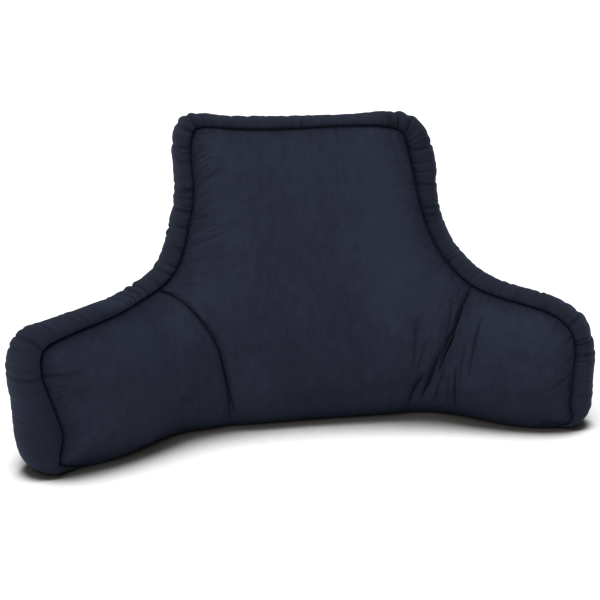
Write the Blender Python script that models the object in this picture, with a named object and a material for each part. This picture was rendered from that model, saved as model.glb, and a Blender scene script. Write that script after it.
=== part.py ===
"""Bed-rest cushion: a high filled back with two arms, and a stuffed roll sewn round its edge.

The cloth is laid out flat first, with "across" running along the width, "up" the height and "deep"
the thickness. A bent plan line and a lean then turn that flat pattern into the standing cushion.
"""

import math
from typing import NamedTuple

import bmesh
import bpy
import numpy as np

SEAM_FRONT = 0.030  # how far the front seam lies ahead of the plan line
SEAM_GAP = 0.0004  # between the roll and the filled body
ROLL_BULGE = 0.009  # how far the roll stands out past the seam, at most
ROLL_BULGE_SHARE = 0.45  # of the roll's own width, where the roll is thin
ROLL_SQUARE = 0.85  # below 1 the roll's section is fuller than an ellipse
ROLL_LEAST = 0.0015  # its width where it runs out under the arms
ROLL_POINTS = 15  # points round the roll's section

PLAN_BACK = 0.188  # how far behind the arms' ends the plan line's middle stands
LEAN = 0.20  # of the height, how far the back leans to the rear
LEAN_TWIST = -0.42  # change of that lean for each metre across
LEAN_FULL = 0.14  # the whole back leans up to this far across
LEAN_NONE = 0.36  # the arms stand upright from here on

EDGE_RISE = 0.018  # how steeply the cloth comes out of the seam
EDGE_RUN = 0.010
DOME_RISE = 0.028  # the slow swelling towards the middle of each panel
DOME_RUN = 0.060
WEDGE = 0.075  # extra filling behind the back's foot
WEDGE_TOP = 0.40  # height at which that extra filling has run out
WEDGE_MIDDLE = 0.02  # place across of its middle
WEDGE_SIDE = 0.27  # how far it reaches to each side
FLOOR_ROUND = 0.045  # height of the rounding above the floor
FLOOR_FRONT = 0.15  # share of the swelling left at the floor, in front
FLOOR_REAR = 0.60  # and behind
FOLD_SHARP = 0.55  # share of a crease's depth in its sharp middle
FOLD_WIDE = 2.2  # width of its soft trough against the sharp middle's

ROWS_LOW = 14  # rows of cloth from the floor to the arms' tops
ROWS_HIGH = 14  # from there to the top of the back
COLUMNS_ARM = 13
COLUMNS_BACK = 22
END_CROWDING = 0.85  # how strongly rows and columns crowd towards the seams
SAMPLE = 0.001  # spacing of the finely sampled curves
EDGE_BLEND = 0.020  # stretch over which the edge's direction is evened out
PLAN_BLEND = 0.030  # and the plan line's
PLAN_REACH = 0.60  # how far the plan line is drawn to each side
WELD = 1e-5  # points closer than this are one
SHARP_DEGREES = 50.0  # edges sharper than this are not smoothed

NAVY = (0.0185, 0.0225, 0.0365, 1.0)
NAVY_ROLL = (0.0165, 0.0200, 0.0325, 1.0)
CLOTH_ROUGHNESS = 0.92


class Heading(NamedTuple):
    """Direction of the plan line at one place across."""

    across: float
    degrees: float


class EdgeRow(NamedTuple):
    """One place on the outer edge, from the left arm's foot over the back to the right arm's foot."""

    across: float
    up: float
    roll: float  # width of the roll, from the outer edge to the seam
    deep: float  # depth of the roll, from its front seam to its rear seam


class Crease(NamedTuple):
    """A fold where an arm leaves the back, from the arm's top down to the floor."""

    line: tuple  # (across, up) of the places it passes
    depths: tuple  # how deep it is, evenly spaced along the line
    width: float


PLAN = (
    Heading(-0.50, 28.0),
    Heading(-0.42, 41.0),
    Heading(-0.36, 47.0),
    Heading(-0.30, 49.0),
    Heading(-0.25, 46.0),
    Heading(-0.21, 31.0),
    Heading(-0.17, 14.0),
    Heading(-0.10, 10.0),
    Heading(-0.03, 7.0),
    Heading(0.05, 5.0),
    Heading(0.16, 4.0),
    Heading(0.21, -4.0),
    Heading(0.25, -18.0),
    Heading(0.29, -36.0),
    Heading(0.34, -43.0),
    Heading(0.38, -36.0),
    Heading(0.42, -20.0),
    Heading(0.50, -12.0),
)

EDGE = (
    EdgeRow(-0.392, 0.000, 0.002, 0.060),
    EdgeRow(-0.444, 0.003, 0.024, 0.060),
    EdgeRow(-0.467, 0.037, 0.045, 0.060),
    EdgeRow(-0.473, 0.100, 0.037, 0.058),
    EdgeRow(-0.480, 0.156, 0.030, 0.052),
    EdgeRow(-0.463, 0.198, 0.022, 0.044),
    EdgeRow(-0.405, 0.213, 0.015, 0.038),
    EdgeRow(-0.320, 0.215, 0.013, 0.034),
    EdgeRow(-0.245, 0.212, 0.013, 0.034),
    EdgeRow(-0.194, 0.228, 0.016, 0.038),
    EdgeRow(-0.168, 0.285, 0.020, 0.044),
    EdgeRow(-0.153, 0.350, 0.019, 0.046),
    EdgeRow(-0.151, 0.415, 0.019, 0.046),
    EdgeRow(-0.134, 0.444, 0.018, 0.046),
    EdgeRow(-0.085, 0.450, 0.016, 0.046),
    EdgeRow(0.010, 0.448, 0.0155, 0.046),
    EdgeRow(0.125, 0.452, 0.0155, 0.046),
    EdgeRow(0.190, 0.444, 0.029, 0.046),
    EdgeRow(0.217, 0.400, 0.035, 0.046),
    EdgeRow(0.225, 0.340, 0.030, 0.044),
    EdgeRow(0.243, 0.275, 0.024, 0.042),
    EdgeRow(0.284, 0.228, 0.017, 0.038),
    EdgeRow(0.370, 0.206, 0.015, 0.038),
    EdgeRow(0.434, 0.190, 0.019, 0.042),
    EdgeRow(0.471, 0.152, 0.030, 0.048),
    EdgeRow(0.479, 0.075, 0.032, 0.050),
    EdgeRow(0.472, 0.016, 0.027, 0.050),
    EdgeRow(0.450, 0.000, 0.011, 0.050),
    EdgeRow(0.428, 0.000, 0.002, 0.050),
)

# Corners of the cloth on the seam, as (across, up): the arms' outer top corners, the waists where
# the creases start, and the top corners of the back.
ARM_CORNER_LEFT, ARM_CORNER_RIGHT = (-0.448, 0.180), (0.432, 0.170)
WAIST_LEFT, WAIST_RIGHT = (-0.212, 0.203), (0.284, 0.214)
TOP_LEFT, TOP_RIGHT = (-0.128, 0.430), (0.167, 0.429)

CREASE_LEFT = Crease(
    line=((-0.178, 0.196), (-0.150, 0.171), (-0.129, 0.137), (-0.117, 0.090), (-0.111, 0.040), (-0.109, 0.0)),
    depths=(0.003, 0.007, 0.011, 0.015, 0.012, 0.004),
    width=0.013,
)
CREASE_RIGHT = Crease(
    line=((0.283, 0.175), (0.266, 0.126), (0.238, 0.078), (0.205, 0.036), (0.176, 0.0)),
    depths=(0.004, 0.009, 0.012, 0.010, 0.003),
    width=0.015,
)


def smoothstep(value):
    """0 below 0, 1 above 1, and an S between them."""
    clipped = np.clip(value, 0.0, 1.0)
    return clipped * clipped * (3.0 - 2.0 * clipped)


def along(points):
    """The distance run along a line of points, from its start."""
    steps = np.linalg.norm(np.diff(points, axis=0), axis=1)
    return np.concatenate([[0.0], np.cumsum(steps)])


def spline(knots, values, places):
    """A natural cubic curve through the values at the knots, read at the places."""
    count, gap = len(knots), np.diff(knots)
    slopes = np.diff(values, axis=0) / gap[:, None]
    matrix = np.eye(count)
    right = np.zeros_like(values)
    for i in range(1, count - 1):
        matrix[i, i - 1 : i + 2] = gap[i - 1], 2.0 * (gap[i - 1] + gap[i]), gap[i]
        right[i] = 6.0 * (slopes[i] - slopes[i - 1])
    bend = np.linalg.solve(matrix, right)
    span = np.clip(np.searchsorted(knots, places) - 1, 0, count - 2)
    after = (places - knots[span])[:, None]
    before = (knots[span + 1] - places)[:, None]
    width = gap[span][:, None]
    curved = (bend[span] * before**3 + bend[span + 1] * after**3) / (6.0 * width)
    first = (values[span] / width - bend[span] * width / 6.0) * before
    last = (values[span + 1] / width - bend[span + 1] * width / 6.0) * after
    return curved + first + last


def smooth_line(points):
    """A smooth line through the points, finely sampled."""
    values = np.array(points, float)
    knots = along(values[:, :2])
    count = int(knots[-1] / SAMPLE) + 1
    return spline(knots, values, np.linspace(0.0, knots[-1], count))


def blended(values, reach):
    """The values averaged twice over a stretch of samples, with the ends carried on."""
    count = 2 * int(0.5 * reach / SAMPLE) + 1
    window = np.convolve(np.ones(count) / count, np.ones(count) / count)
    padded = np.pad(values, ((count - 1, count - 1), (0, 0)), mode="edge")
    return np.stack([np.convolve(padded[:, i], window, mode="valid") for i in range(values.shape[1])], axis=1)


def spread(count, crowding=END_CROWDING):
    """Numbers from 0 to 1, closer together at both ends."""
    even = np.linspace(0.0, 1.0, count)
    return (1.0 - crowding) * even + crowding * 0.5 * (1.0 - np.cos(math.pi * even))


def read_along(line, shares):
    """Points at these shares of a line's length."""
    run = along(line)
    return np.stack([np.interp(shares * run[-1], run, line[:, i]) for i in range(line.shape[1])], axis=1)


class Plan:
    """The bent line on the floor that the flat pattern is wrapped round."""

    def __init__(self):
        self.across = np.arange(-PLAN_REACH, PLAN_REACH + SAMPLE, SAMPLE)
        degrees = np.interp(self.across, [row.across for row in PLAN], [row.degrees for row in PLAN])
        self.heading = np.radians(blended(degrees[:, None], PLAN_BLEND)[:, 0])
        self.x = np.cumsum(np.cos(self.heading)) * SAMPLE
        self.y = np.cumsum(np.sin(self.heading)) * SAMPLE
        self.x -= np.interp(0.0, self.across, self.x)
        self.y -= np.interp(0.0, self.across, self.y) - PLAN_BACK

    def place(self, across, up, deep):
        """Points of the standing cushion, from their flat pattern and depth."""
        across, up, deep = np.broadcast_arrays(across, up, deep)
        heading = np.interp(across, self.across, self.heading)
        share = smoothstep((LEAN_NONE - np.abs(across)) / (LEAN_NONE - LEAN_FULL))
        back = deep + (LEAN + LEAN_TWIST * across) * up * share
        x = np.interp(across, self.across, self.x) - np.sin(heading) * back
        y = np.interp(across, self.across, self.y) + np.cos(heading) * back
        return np.stack([x, y, up], axis=-1)


class Edge:
    """The outer edge and the seam inside it, finely sampled, and the stations along them."""

    def __init__(self):
        rows = smooth_line(EDGE)
        self.outer = rows[:, :2].copy()
        self.outer[:, 1] = np.maximum(self.outer[:, 1], 0.0)
        travel = blended(np.gradient(self.outer, axis=0), EDGE_BLEND)
        travel /= np.linalg.norm(travel, axis=1)[:, None]
        self.outward = np.stack([-travel[:, 1], travel[:, 0]], axis=1)
        self.roll = np.maximum(rows[:, 2], ROLL_LEAST)
        self.deep = rows[:, 3]
        self.seam = self.outer - self.outward * self.roll[:, None]

    def nearest(self, place):
        """Number of the sample nearest to a place."""
        return int(np.argmin(np.linalg.norm(self.seam - np.array(place), axis=1)))

    def stations(self, first, last, count):
        """Sample numbers from one sample to another, closer together at both ends."""
        run = along(self.seam[first : last + 1]) + along(self.outer[first : last + 1])
        places = spread(count) * run[-1]
        return first + np.rint(np.interp(places, run, np.arange(len(run)))).astype(int)


def coons(left, right, bottom, top):
    """A sheet of points filling four lines, rows from bottom to top and columns from left to right."""
    rise = 0.5 * (along(left) / along(left)[-1] + along(right) / along(right)[-1])
    pass_ = 0.5 * (along(bottom) / along(bottom)[-1] + along(top) / along(top)[-1])
    v, u = rise[:, None, None], pass_[None, :, None]
    sides = (1.0 - u) * left[:, None] + u * right[:, None]
    ends = (1.0 - v) * bottom[None] + v * top[None]
    low = (1.0 - u) * bottom[0] + u * bottom[-1]
    high = (1.0 - u) * top[0] + u * top[-1]
    return sides + ends - (1.0 - v) * low - v * high


def seam_distance(points, seam):
    """A smooth distance from the seam: exact beside a straight seam, rounded over at corners."""
    power, straight = 6.0, 1.1781  # the second is the sum's value one unit away from a straight line
    gaps = np.linalg.norm(points[:, None] - seam[None], axis=2)
    total = np.sum(np.maximum(gaps, 0.5 * SAMPLE) ** -power, axis=1) * SAMPLE
    distance = (total / straight) ** (-1.0 / (power - 1.0))
    return np.where(gaps.min(axis=1) < 1e-7, 0.0, distance)


def seam_depth(points, edge):
    """Depth between the front and rear seams, carried into the panels from the seam nearest by."""
    gaps = np.linalg.norm(points[:, None] - edge.seam[None], axis=2)
    weights = np.maximum(gaps, 1e-6) ** -4.0
    return weights @ edge.deep / weights.sum(axis=1)


def swelling(distance):
    """How far the filling pushes a panel out, from the distance to its seam."""
    steep = EDGE_RISE * (1.0 - np.exp(-distance / EDGE_RUN))
    slow = DOME_RISE * (1.0 - np.exp(-((distance / DOME_RUN) ** 1.5)))
    return steep + slow


def floor_share(up, least):
    """Share of the swelling kept near the floor, a quarter ellipse from the least share to the whole."""
    short = 1.0 - np.clip(up / FLOOR_ROUND, 0.0, 1.0)
    return least + (1.0 - least) * np.sqrt(1.0 - short * short)


def crease_cut(points, crease):
    """Depth taken off the front by a crease."""
    line = smooth_line(crease.line)
    gaps = np.linalg.norm(points[:, None] - line[None], axis=2)
    place = gaps.argmin(axis=1) / (len(line) - 1)
    deep = np.interp(place, np.linspace(0.0, 1.0, len(crease.depths)), crease.depths)
    near = gaps.min(axis=1) / crease.width
    soft = np.exp(-((near / FOLD_WIDE) ** 2))
    return deep * (FOLD_SHARP * np.exp(-near) + (1.0 - FOLD_SHARP) * soft)


class Body:
    """The filled body: front and rear panels, the wall under the roll, and the flat base."""

    def __init__(self, plan, edge):
        self.plan, self.edge = plan, edge
        self.points, self.faces = [], []
        self.lay_out()

    def lay_out(self):
        """Finds the stations on the seam, and the sheets of the left arm, the back and the right arm."""
        edge, last = self.edge, len(self.edge.seam) - 1
        corners = (ARM_CORNER_LEFT, WAIST_LEFT, TOP_LEFT, TOP_RIGHT, WAIST_RIGHT, ARM_CORNER_RIGHT)
        ends = [0, *(edge.nearest(corner) for corner in corners), last]
        counts = (ROWS_LOW, COLUMNS_ARM, ROWS_HIGH, COLUMNS_BACK, ROWS_HIGH, COLUMNS_ARM, ROWS_LOW)
        parts = [edge.stations(a, b, n) for a, b, n in zip(ends[:-1], ends[1:], counts)]
        self.stations = np.concatenate([parts[0]] + [part[1:] for part in parts[1:]])
        lines = [edge.seam[part] for part in parts]
        end_left, top_left, side_left, top, side_right, top_right, end_right = lines
        fold_left = self.fold(CREASE_LEFT, side_left[0])
        fold_right = self.fold(CREASE_RIGHT, top_right[0])
        foot_left, foot_right = fold_left[0], fold_right[0]
        left_floor = self.floor_line(end_left[0], foot_left, COLUMNS_ARM)
        back_floor = self.floor_line(foot_left, foot_right, COLUMNS_BACK)
        right_floor = self.floor_line(foot_right, end_right[-1], COLUMNS_ARM)
        back_left = np.concatenate([fold_left, side_left[1:]])
        back_right = np.concatenate([fold_right, side_right[::-1][1:]])
        self.sheets = (
            coons(end_left, fold_left, left_floor, top_left),
            coons(back_left, back_right, back_floor, top),
            coons(fold_right, end_right[::-1], right_floor, top_right),
        )
        self.floor = np.concatenate([left_floor, back_floor[1:], right_floor[1:]])

    def fold(self, crease, waist):
        """The rows' ends on a crease, from the floor to the waist."""
        line = smooth_line([tuple(waist), *crease.line])[::-1]
        line[0, 1] = 0.0
        line[-1] = waist
        return read_along(line, spread(ROWS_LOW))

    def floor_line(self, start, end, count):
        """The columns' feet on the floor."""
        line = start + spread(count)[:, None] * (end - start)
        line[1:-1, 1] = 0.0
        return line

    def front(self, points):
        """Depth of the front panel."""
        out = swelling(seam_distance(points, self.edge.seam))
        cut = crease_cut(points, CREASE_LEFT) + crease_cut(points, CREASE_RIGHT)
        settled = out * floor_share(points[:, 1], FLOOR_FRONT)
        return -SEAM_FRONT - np.maximum(settled - cut * smoothstep(out / EDGE_RISE), 0.0)

    def rear(self, points):
        """Depth of the rear panel, with its extra filling behind the back's foot."""
        distance = seam_distance(points, self.edge.seam)
        height = np.clip(1.0 - points[:, 1] / WEDGE_TOP, 0.0, 1.0)
        side = smoothstep(1.0 - np.abs(points[:, 0] - WEDGE_MIDDLE) / WEDGE_SIDE)
        wedge = WEDGE * height * side * (1.0 - np.exp(-distance / DOME_RUN))
        seam = seam_depth(points, self.edge) - SEAM_FRONT
        return seam + (swelling(distance) + wedge) * floor_share(points[:, 1], FLOOR_REAR)

    def add_grid(self, grid, flip):
        """Adds a grid of points with a face in each cell."""
        rows, columns = grid.shape[:2]
        first = len(self.points)
        self.points.extend(grid.reshape(-1, 3).tolist())
        corner = first + np.arange(rows - 1)[:, None] * columns + np.arange(columns - 1)[None]
        quads = np.stack([corner, corner + 1, corner + columns + 1, corner + columns], axis=-1).reshape(-1, 4)
        self.faces.extend((quads[:, ::-1] if flip else quads).tolist())

    def strip(self, line, flip):
        """Adds the faces between the front and rear panels along a line."""
        ends = [self.plan.place(line[:, 0], line[:, 1], depth(line)) for depth in (self.front, self.rear)]
        self.add_grid(np.stack(ends), flip)

    def build(self):
        """Adds both panels, the wall and the base."""
        for sheet in self.sheets:
            flat = sheet.reshape(-1, 2)
            for depth, flip in ((self.front, False), (self.rear, True)):
                placed = self.plan.place(flat[:, 0], flat[:, 1], depth(flat))
                self.add_grid(placed.reshape(*sheet.shape[:2], 3), flip)
        self.strip(self.edge.seam[self.stations], False)
        self.strip(self.floor, True)
        return self.points, self.faces


def roll_section(width, deep):
    """The roll's section as outward and deep distances, from the front seam round to the rear seam."""
    bulge = min(ROLL_BULGE, ROLL_BULGE_SHARE * width)
    reach = 0.5 * deep + bulge
    past = math.acos(0.5 * deep / reach)
    angle = np.linspace(-math.pi / 2 - past, math.pi / 2 + past, ROLL_POINTS)
    inner = math.sin(past) ** ROLL_SQUARE
    half = width / (1.0 + inner)
    outward = half * (inner + np.sign(np.cos(angle)) * np.abs(np.cos(angle)) ** ROLL_SQUARE)
    return outward, 0.5 * deep - SEAM_FRONT + reach * np.sin(angle)


def roll_mesh(plan, edge, stations):
    """The stuffed roll, carried along the seam with its inner side flat against the body's wall."""
    points, faces = [], []
    for station in stations:
        outward, deep = roll_section(edge.roll[station], edge.deep[station])
        flat = edge.seam[station] + edge.outward[station] * (outward[:, None] + SEAM_GAP)
        points.extend(plan.place(flat[:, 0], np.maximum(flat[:, 1], 0.0), deep).tolist())
    for ring in range(len(stations) - 1):
        for i in range(ROLL_POINTS):
            here, after = ring * ROLL_POINTS + i, ring * ROLL_POINTS + (i + 1) % ROLL_POINTS
            faces.append((here, after, after + ROLL_POINTS, here + ROLL_POINTS))
    faces.append(tuple(range(ROLL_POINTS)))
    faces.append(tuple(range(len(points) - ROLL_POINTS, len(points))))
    return points, faces


def cloth(name, colour):
    """A matt sueded cloth."""
    material = bpy.data.materials.new(name)
    material.use_nodes = True
    shader = material.node_tree.nodes["Principled BSDF"]
    shader.inputs["Base Color"].default_value = colour
    shader.inputs["Roughness"].default_value = CLOTH_ROUGHNESS
    shader.inputs["Metallic"].default_value = 0.0
    material.diffuse_color = colour
    return material


def make_object(name, points, faces, material):
    """A closed, smooth object with its faces outward."""
    mesh = bpy.data.meshes.new(name)
    mesh.from_pydata(points, [], faces)
    work = bmesh.new()
    work.from_mesh(mesh)
    bmesh.ops.remove_doubles(work, verts=work.verts, dist=WELD)
    bmesh.ops.triangulate(work, faces=work.faces, quad_method="SHORT_EDGE")
    bmesh.ops.recalc_face_normals(work, faces=work.faces)
    if work.calc_volume(signed=True) < 0.0:
        bmesh.ops.reverse_faces(work, faces=work.faces)
    for face in work.faces:
        face.smooth = True
    work.to_mesh(mesh)
    work.free()
    mesh.set_sharp_from_angle(angle=math.radians(SHARP_DEGREES))
    mesh.materials.append(material)
    made = bpy.data.objects.new(name, mesh)
    bpy.context.scene.collection.objects.link(made)
    return made


def main():
    """Builds the cushion with the middle of its underside at the origin."""
    for old in list(bpy.data.objects):
        bpy.data.objects.remove(old, do_unlink=True)
    plan, edge = Plan(), Edge()
    body = Body(plan, edge)
    body_points, body_faces = body.build()
    roll_points, roll_faces = roll_mesh(plan, edge, body.stations)
    every = np.array(body_points + roll_points)
    middle = 0.5 * (every.min(axis=0) + every.max(axis=0))
    middle[2] = every[:, 2].min()
    make_object("cushion_body", np.array(body_points) - middle, body_faces, cloth("face_cloth", NAVY))
    make_object("edge_roll", np.array(roll_points) - middle, roll_faces, cloth("roll_cloth", NAVY_ROLL))


main()
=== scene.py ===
"""The looks of a bed-rest cushion: sueded navy cloth over a filled body, with a stuffed roll round its edge.

The cloth is drawn flat first. "Across" runs along the width, "up" is the height, and "deep" is the
thickness, negative towards the sitter. A bent plan line and a lean then stand that pattern up.
"""

from __future__ import annotations

import logging
import math
from dataclasses import dataclass
from enum import Enum
from typing import Callable, Union

import bpy
import numpy as np
from mathutils import Matrix

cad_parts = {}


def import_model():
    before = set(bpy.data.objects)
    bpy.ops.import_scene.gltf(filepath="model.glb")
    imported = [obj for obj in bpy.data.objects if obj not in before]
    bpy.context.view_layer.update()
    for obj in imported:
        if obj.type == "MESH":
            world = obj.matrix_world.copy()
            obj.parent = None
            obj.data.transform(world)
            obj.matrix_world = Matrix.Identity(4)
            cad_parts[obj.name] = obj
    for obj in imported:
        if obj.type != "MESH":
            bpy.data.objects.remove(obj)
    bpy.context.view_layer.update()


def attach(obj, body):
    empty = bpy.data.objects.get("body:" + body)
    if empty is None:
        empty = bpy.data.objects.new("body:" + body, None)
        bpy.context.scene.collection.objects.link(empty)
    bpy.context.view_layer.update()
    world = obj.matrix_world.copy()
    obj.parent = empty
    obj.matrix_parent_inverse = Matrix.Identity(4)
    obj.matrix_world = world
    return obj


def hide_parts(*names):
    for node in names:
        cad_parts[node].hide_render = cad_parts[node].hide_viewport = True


LOG = logging.getLogger("bed_rest_cushion")
SAMPLE = 0.001  # spacing of finely sampled lines, in metres
PATTERN = "pattern"  # attribute holding each point's place on the flat cloth
PAINTED_SHADE_ATTRIBUTE = "painted_shade"  # attribute of painted shade, from 0, open cloth, to 1, the bottom of a fold
PAINTED_LIGHT_ATTRIBUTE = "nap_and_painted_light"  # attribute of painted light and shade: how much the nap is painted as catching the light, around 0
GATHERED = "gathered"  # attribute: distance along the seam, distance from it, and how gathered the cloth is
JOINED = 2e-6  # points closer together than this are one point, in metres
Number = Union[float, "Shade"]
Grids = dict[tuple["Side", int], np.ndarray]  # something for each sheet of each panel


class Side(Enum):
    """The two panels of the body."""

    FACE = "face"
    REAR = "rear"


# Lines and noise


def smoothstep(value: np.ndarray) -> np.ndarray:
    """An S-shaped rise: 3v^2 - 2v^3, held at 0 and 1 outside them."""
    clipped = np.clip(value, 0.0, 1.0)
    return clipped * clipped * (3.0 - 2.0 * clipped)


def along(points: np.ndarray) -> np.ndarray:
    """Distance run along a line of points, from its start."""
    return np.concatenate([[0.0], np.cumsum(np.linalg.norm(np.diff(points, axis=0), axis=1))])


def spline(knots: np.ndarray, values: np.ndarray, places: np.ndarray) -> np.ndarray:
    """Natural cubic curve through values at knots.

    Args:
        knots: rising positions of the values.
        values: one row for each knot.
        places: positions to read the curve at.

    Returns:
        One row for each place. In each span the curve is the straight line between its two values
        plus the cubic that gives the solved bend at both ends.
    """
    gap = np.diff(knots)
    slopes = np.diff(values, axis=0) / gap[:, None]
    matrix = np.eye(len(knots))
    inner = np.arange(1, len(knots) - 1)
    matrix[inner, inner - 1] = gap[:-1]
    matrix[inner, inner] = 2.0 * (gap[:-1] + gap[1:])
    matrix[inner, inner + 1] = gap[1:]
    right = np.zeros_like(values)
    right[1:-1] = 6.0 * np.diff(slopes, axis=0)
    bend = np.linalg.solve(matrix, right)
    span = np.clip(np.searchsorted(knots, places) - 1, 0, len(knots) - 2)
    after, before = (places - knots[span])[:, None], (knots[span + 1] - places)[:, None]
    width = gap[span][:, None]
    curved = (bend[span] * before**3 + bend[span + 1] * after**3) / (6.0 * width)
    first = (values[span] / width - bend[span] * width / 6.0) * before
    last = (values[span + 1] / width - bend[span + 1] * width / 6.0) * after
    return curved + first + last


def smooth_line(points: tuple) -> np.ndarray:
    """A smooth line through the rows of points, sampled every SAMPLE."""
    values = np.array(points, float)
    knots = along(values[:, :2])
    return spline(knots, values, np.linspace(0.0, knots[-1], int(knots[-1] / SAMPLE) + 1))


def blended(values: np.ndarray, reach: float) -> np.ndarray:
    """Values averaged twice over a stretch of samples, with the ends carried on.

    Args:
        values: one row for each sample, SAMPLE apart.
        reach: length of the whole stretch that one value is averaged over.

    Returns:
        As many rows again, less the curves tighter than the reach.
    """
    count = 2 * int(0.5 * reach / SAMPLE) + 1
    window = np.convolve(np.ones(count) / count, np.ones(count) / count)
    padded = np.pad(values, ((count - 1, count - 1), (0, 0)), mode="edge")
    return np.stack([np.convolve(column, window, mode="valid") for column in padded.T], axis=1)


def spread(count: int, crowding: float) -> np.ndarray:
    """Numbers from 0 to 1: an even share plus a crowding share of half of 1 - cos(pi t)."""
    even = np.linspace(0.0, 1.0, count)
    return (1.0 - crowding) * even + crowding * 0.5 * (1.0 - np.cos(math.pi * even))


def read_along(line: np.ndarray, shares: np.ndarray) -> np.ndarray:
    """Points at these shares of a line's length.

    Args:
        line: rows of points, in order.
        shares: numbers from 0, its start, to 1, its end.

    Returns:
        One point for each share, on the straight line between its neighbours.
    """
    run = along(line)
    return np.stack([np.interp(shares * run[-1], run, column) for column in line.T], axis=1)


def coons(left: np.ndarray, right: np.ndarray, bottom: np.ndarray, top: np.ndarray) -> np.ndarray:
    """Sheet of points filling four lines.

    Args:
        left, right: lines from bottom to top, with as many points as each other.
        bottom, top: lines from left to right, with as many points as each other.

    Returns:
        Rows from bottom to top of columns from left to right: the blend of left and right plus the
        blend of bottom and top, less the blend of the four corners that both hold.
    """
    rise = 0.5 * (along(left) / along(left)[-1] + along(right) / along(right)[-1])
    run = 0.5 * (along(bottom) / along(bottom)[-1] + along(top) / along(top)[-1])
    v, u = rise[:, None, None], run[None, :, None]
    sides = (1.0 - u) * left[:, None] + u * right[:, None]
    ends = (1.0 - v) * bottom[None] + v * top[None]
    low = (1.0 - u) * bottom[0] + u * bottom[-1]
    high = (1.0 - u) * top[0] + u * top[-1]
    return sides + ends - (1.0 - v) * low - v * high


@dataclass(frozen=True)
class Wander:
    """Smooth noise between -1 and 1 along a line."""

    seed: int
    step: float  # distance between its turning points

    def line(self, places: np.ndarray) -> np.ndarray:
        """Noise at places along a line: random values joined by an S-shaped rise."""
        table = np.random.default_rng(self.seed).uniform(-1.0, 1.0, 4096)
        cell = np.floor(places / self.step).astype(int)
        share = smoothstep(places / self.step - cell)
        return table[cell % 4096] * (1.0 - share) + table[(cell + 1) % 4096] * share


def in_chunks(work: Callable[[np.ndarray], np.ndarray], points: np.ndarray, size: int = 4000) -> np.ndarray:
    """Runs work on stretches of the points, so that its tables stay small.

    Args:
        work: makes one row for each point.
        points: one row for each point.
        size: most points in one stretch.

    Returns:
        The joined rows.
    """
    return np.concatenate([work(points[i : i + size]) for i in range(0, len(points), size)])


# The flat pattern and how it stands


@dataclass(frozen=True)
class PlanSize:
    """How the flat pattern is bent and leant, in metres unless it says otherwise."""

    headings: tuple  # (across, degrees) of the plan line's direction
    back: float = 0.188  # how far back the plan line's middle stands
    lean: float = 0.20  # share of the height that the back leans
    twist: float = -0.42  # change of that lean for each metre across
    lean_full: float = 0.14  # the whole back leans up to this far across
    lean_none: float = 0.36  # the arms stand upright from here on
    blend: float = 0.030  # length over which the direction is averaged
    reach: float = 0.60  # how far the line is drawn to either side
    origin: tuple[float, float] = (0.01901, 0.12957)  # where the row's origin is on the pattern's floor


class Plan:
    """The bent line on the floor that the flat pattern is wrapped round."""

    def __init__(self, size: PlanSize) -> None:
        """Draws the line by adding up steps of SAMPLE in its direction."""
        self.size = size
        self.across = np.arange(-size.reach, size.reach + SAMPLE, SAMPLE)
        rows = np.array(size.headings)
        degrees = np.interp(self.across, rows[:, 0], rows[:, 1])
        self.heading = np.radians(blended(degrees[:, None], size.blend)[:, 0])
        self.x = np.cumsum(np.cos(self.heading)) * SAMPLE
        self.y = np.cumsum(np.sin(self.heading)) * SAMPLE
        self.x -= np.interp(0.0, self.across, self.x) + size.origin[0]
        self.y -= np.interp(0.0, self.across, self.y) - size.back + size.origin[1]

    def place(self, across: np.ndarray, up: np.ndarray, deep: np.ndarray) -> np.ndarray:
        """Points of the standing cushion.

        Args:
            across, up, deep: place on the flat cloth, and depth behind it.

        Returns:
            The plan line's point, moved along its rearward normal by the depth and the lean.
        """
        size = self.size
        across, up, deep = np.broadcast_arrays(across, up, deep)
        heading = np.interp(across, self.across, self.heading)
        share = smoothstep((size.lean_none - np.abs(across)) / (size.lean_none - size.lean_full))
        back = deep + (size.lean + size.twist * across) * up * share
        x = np.interp(across, self.across, self.x) - np.sin(heading) * back
        y = np.interp(across, self.across, self.y) + np.cos(heading) * back
        return np.stack([x, y, up], axis=-1)


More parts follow.
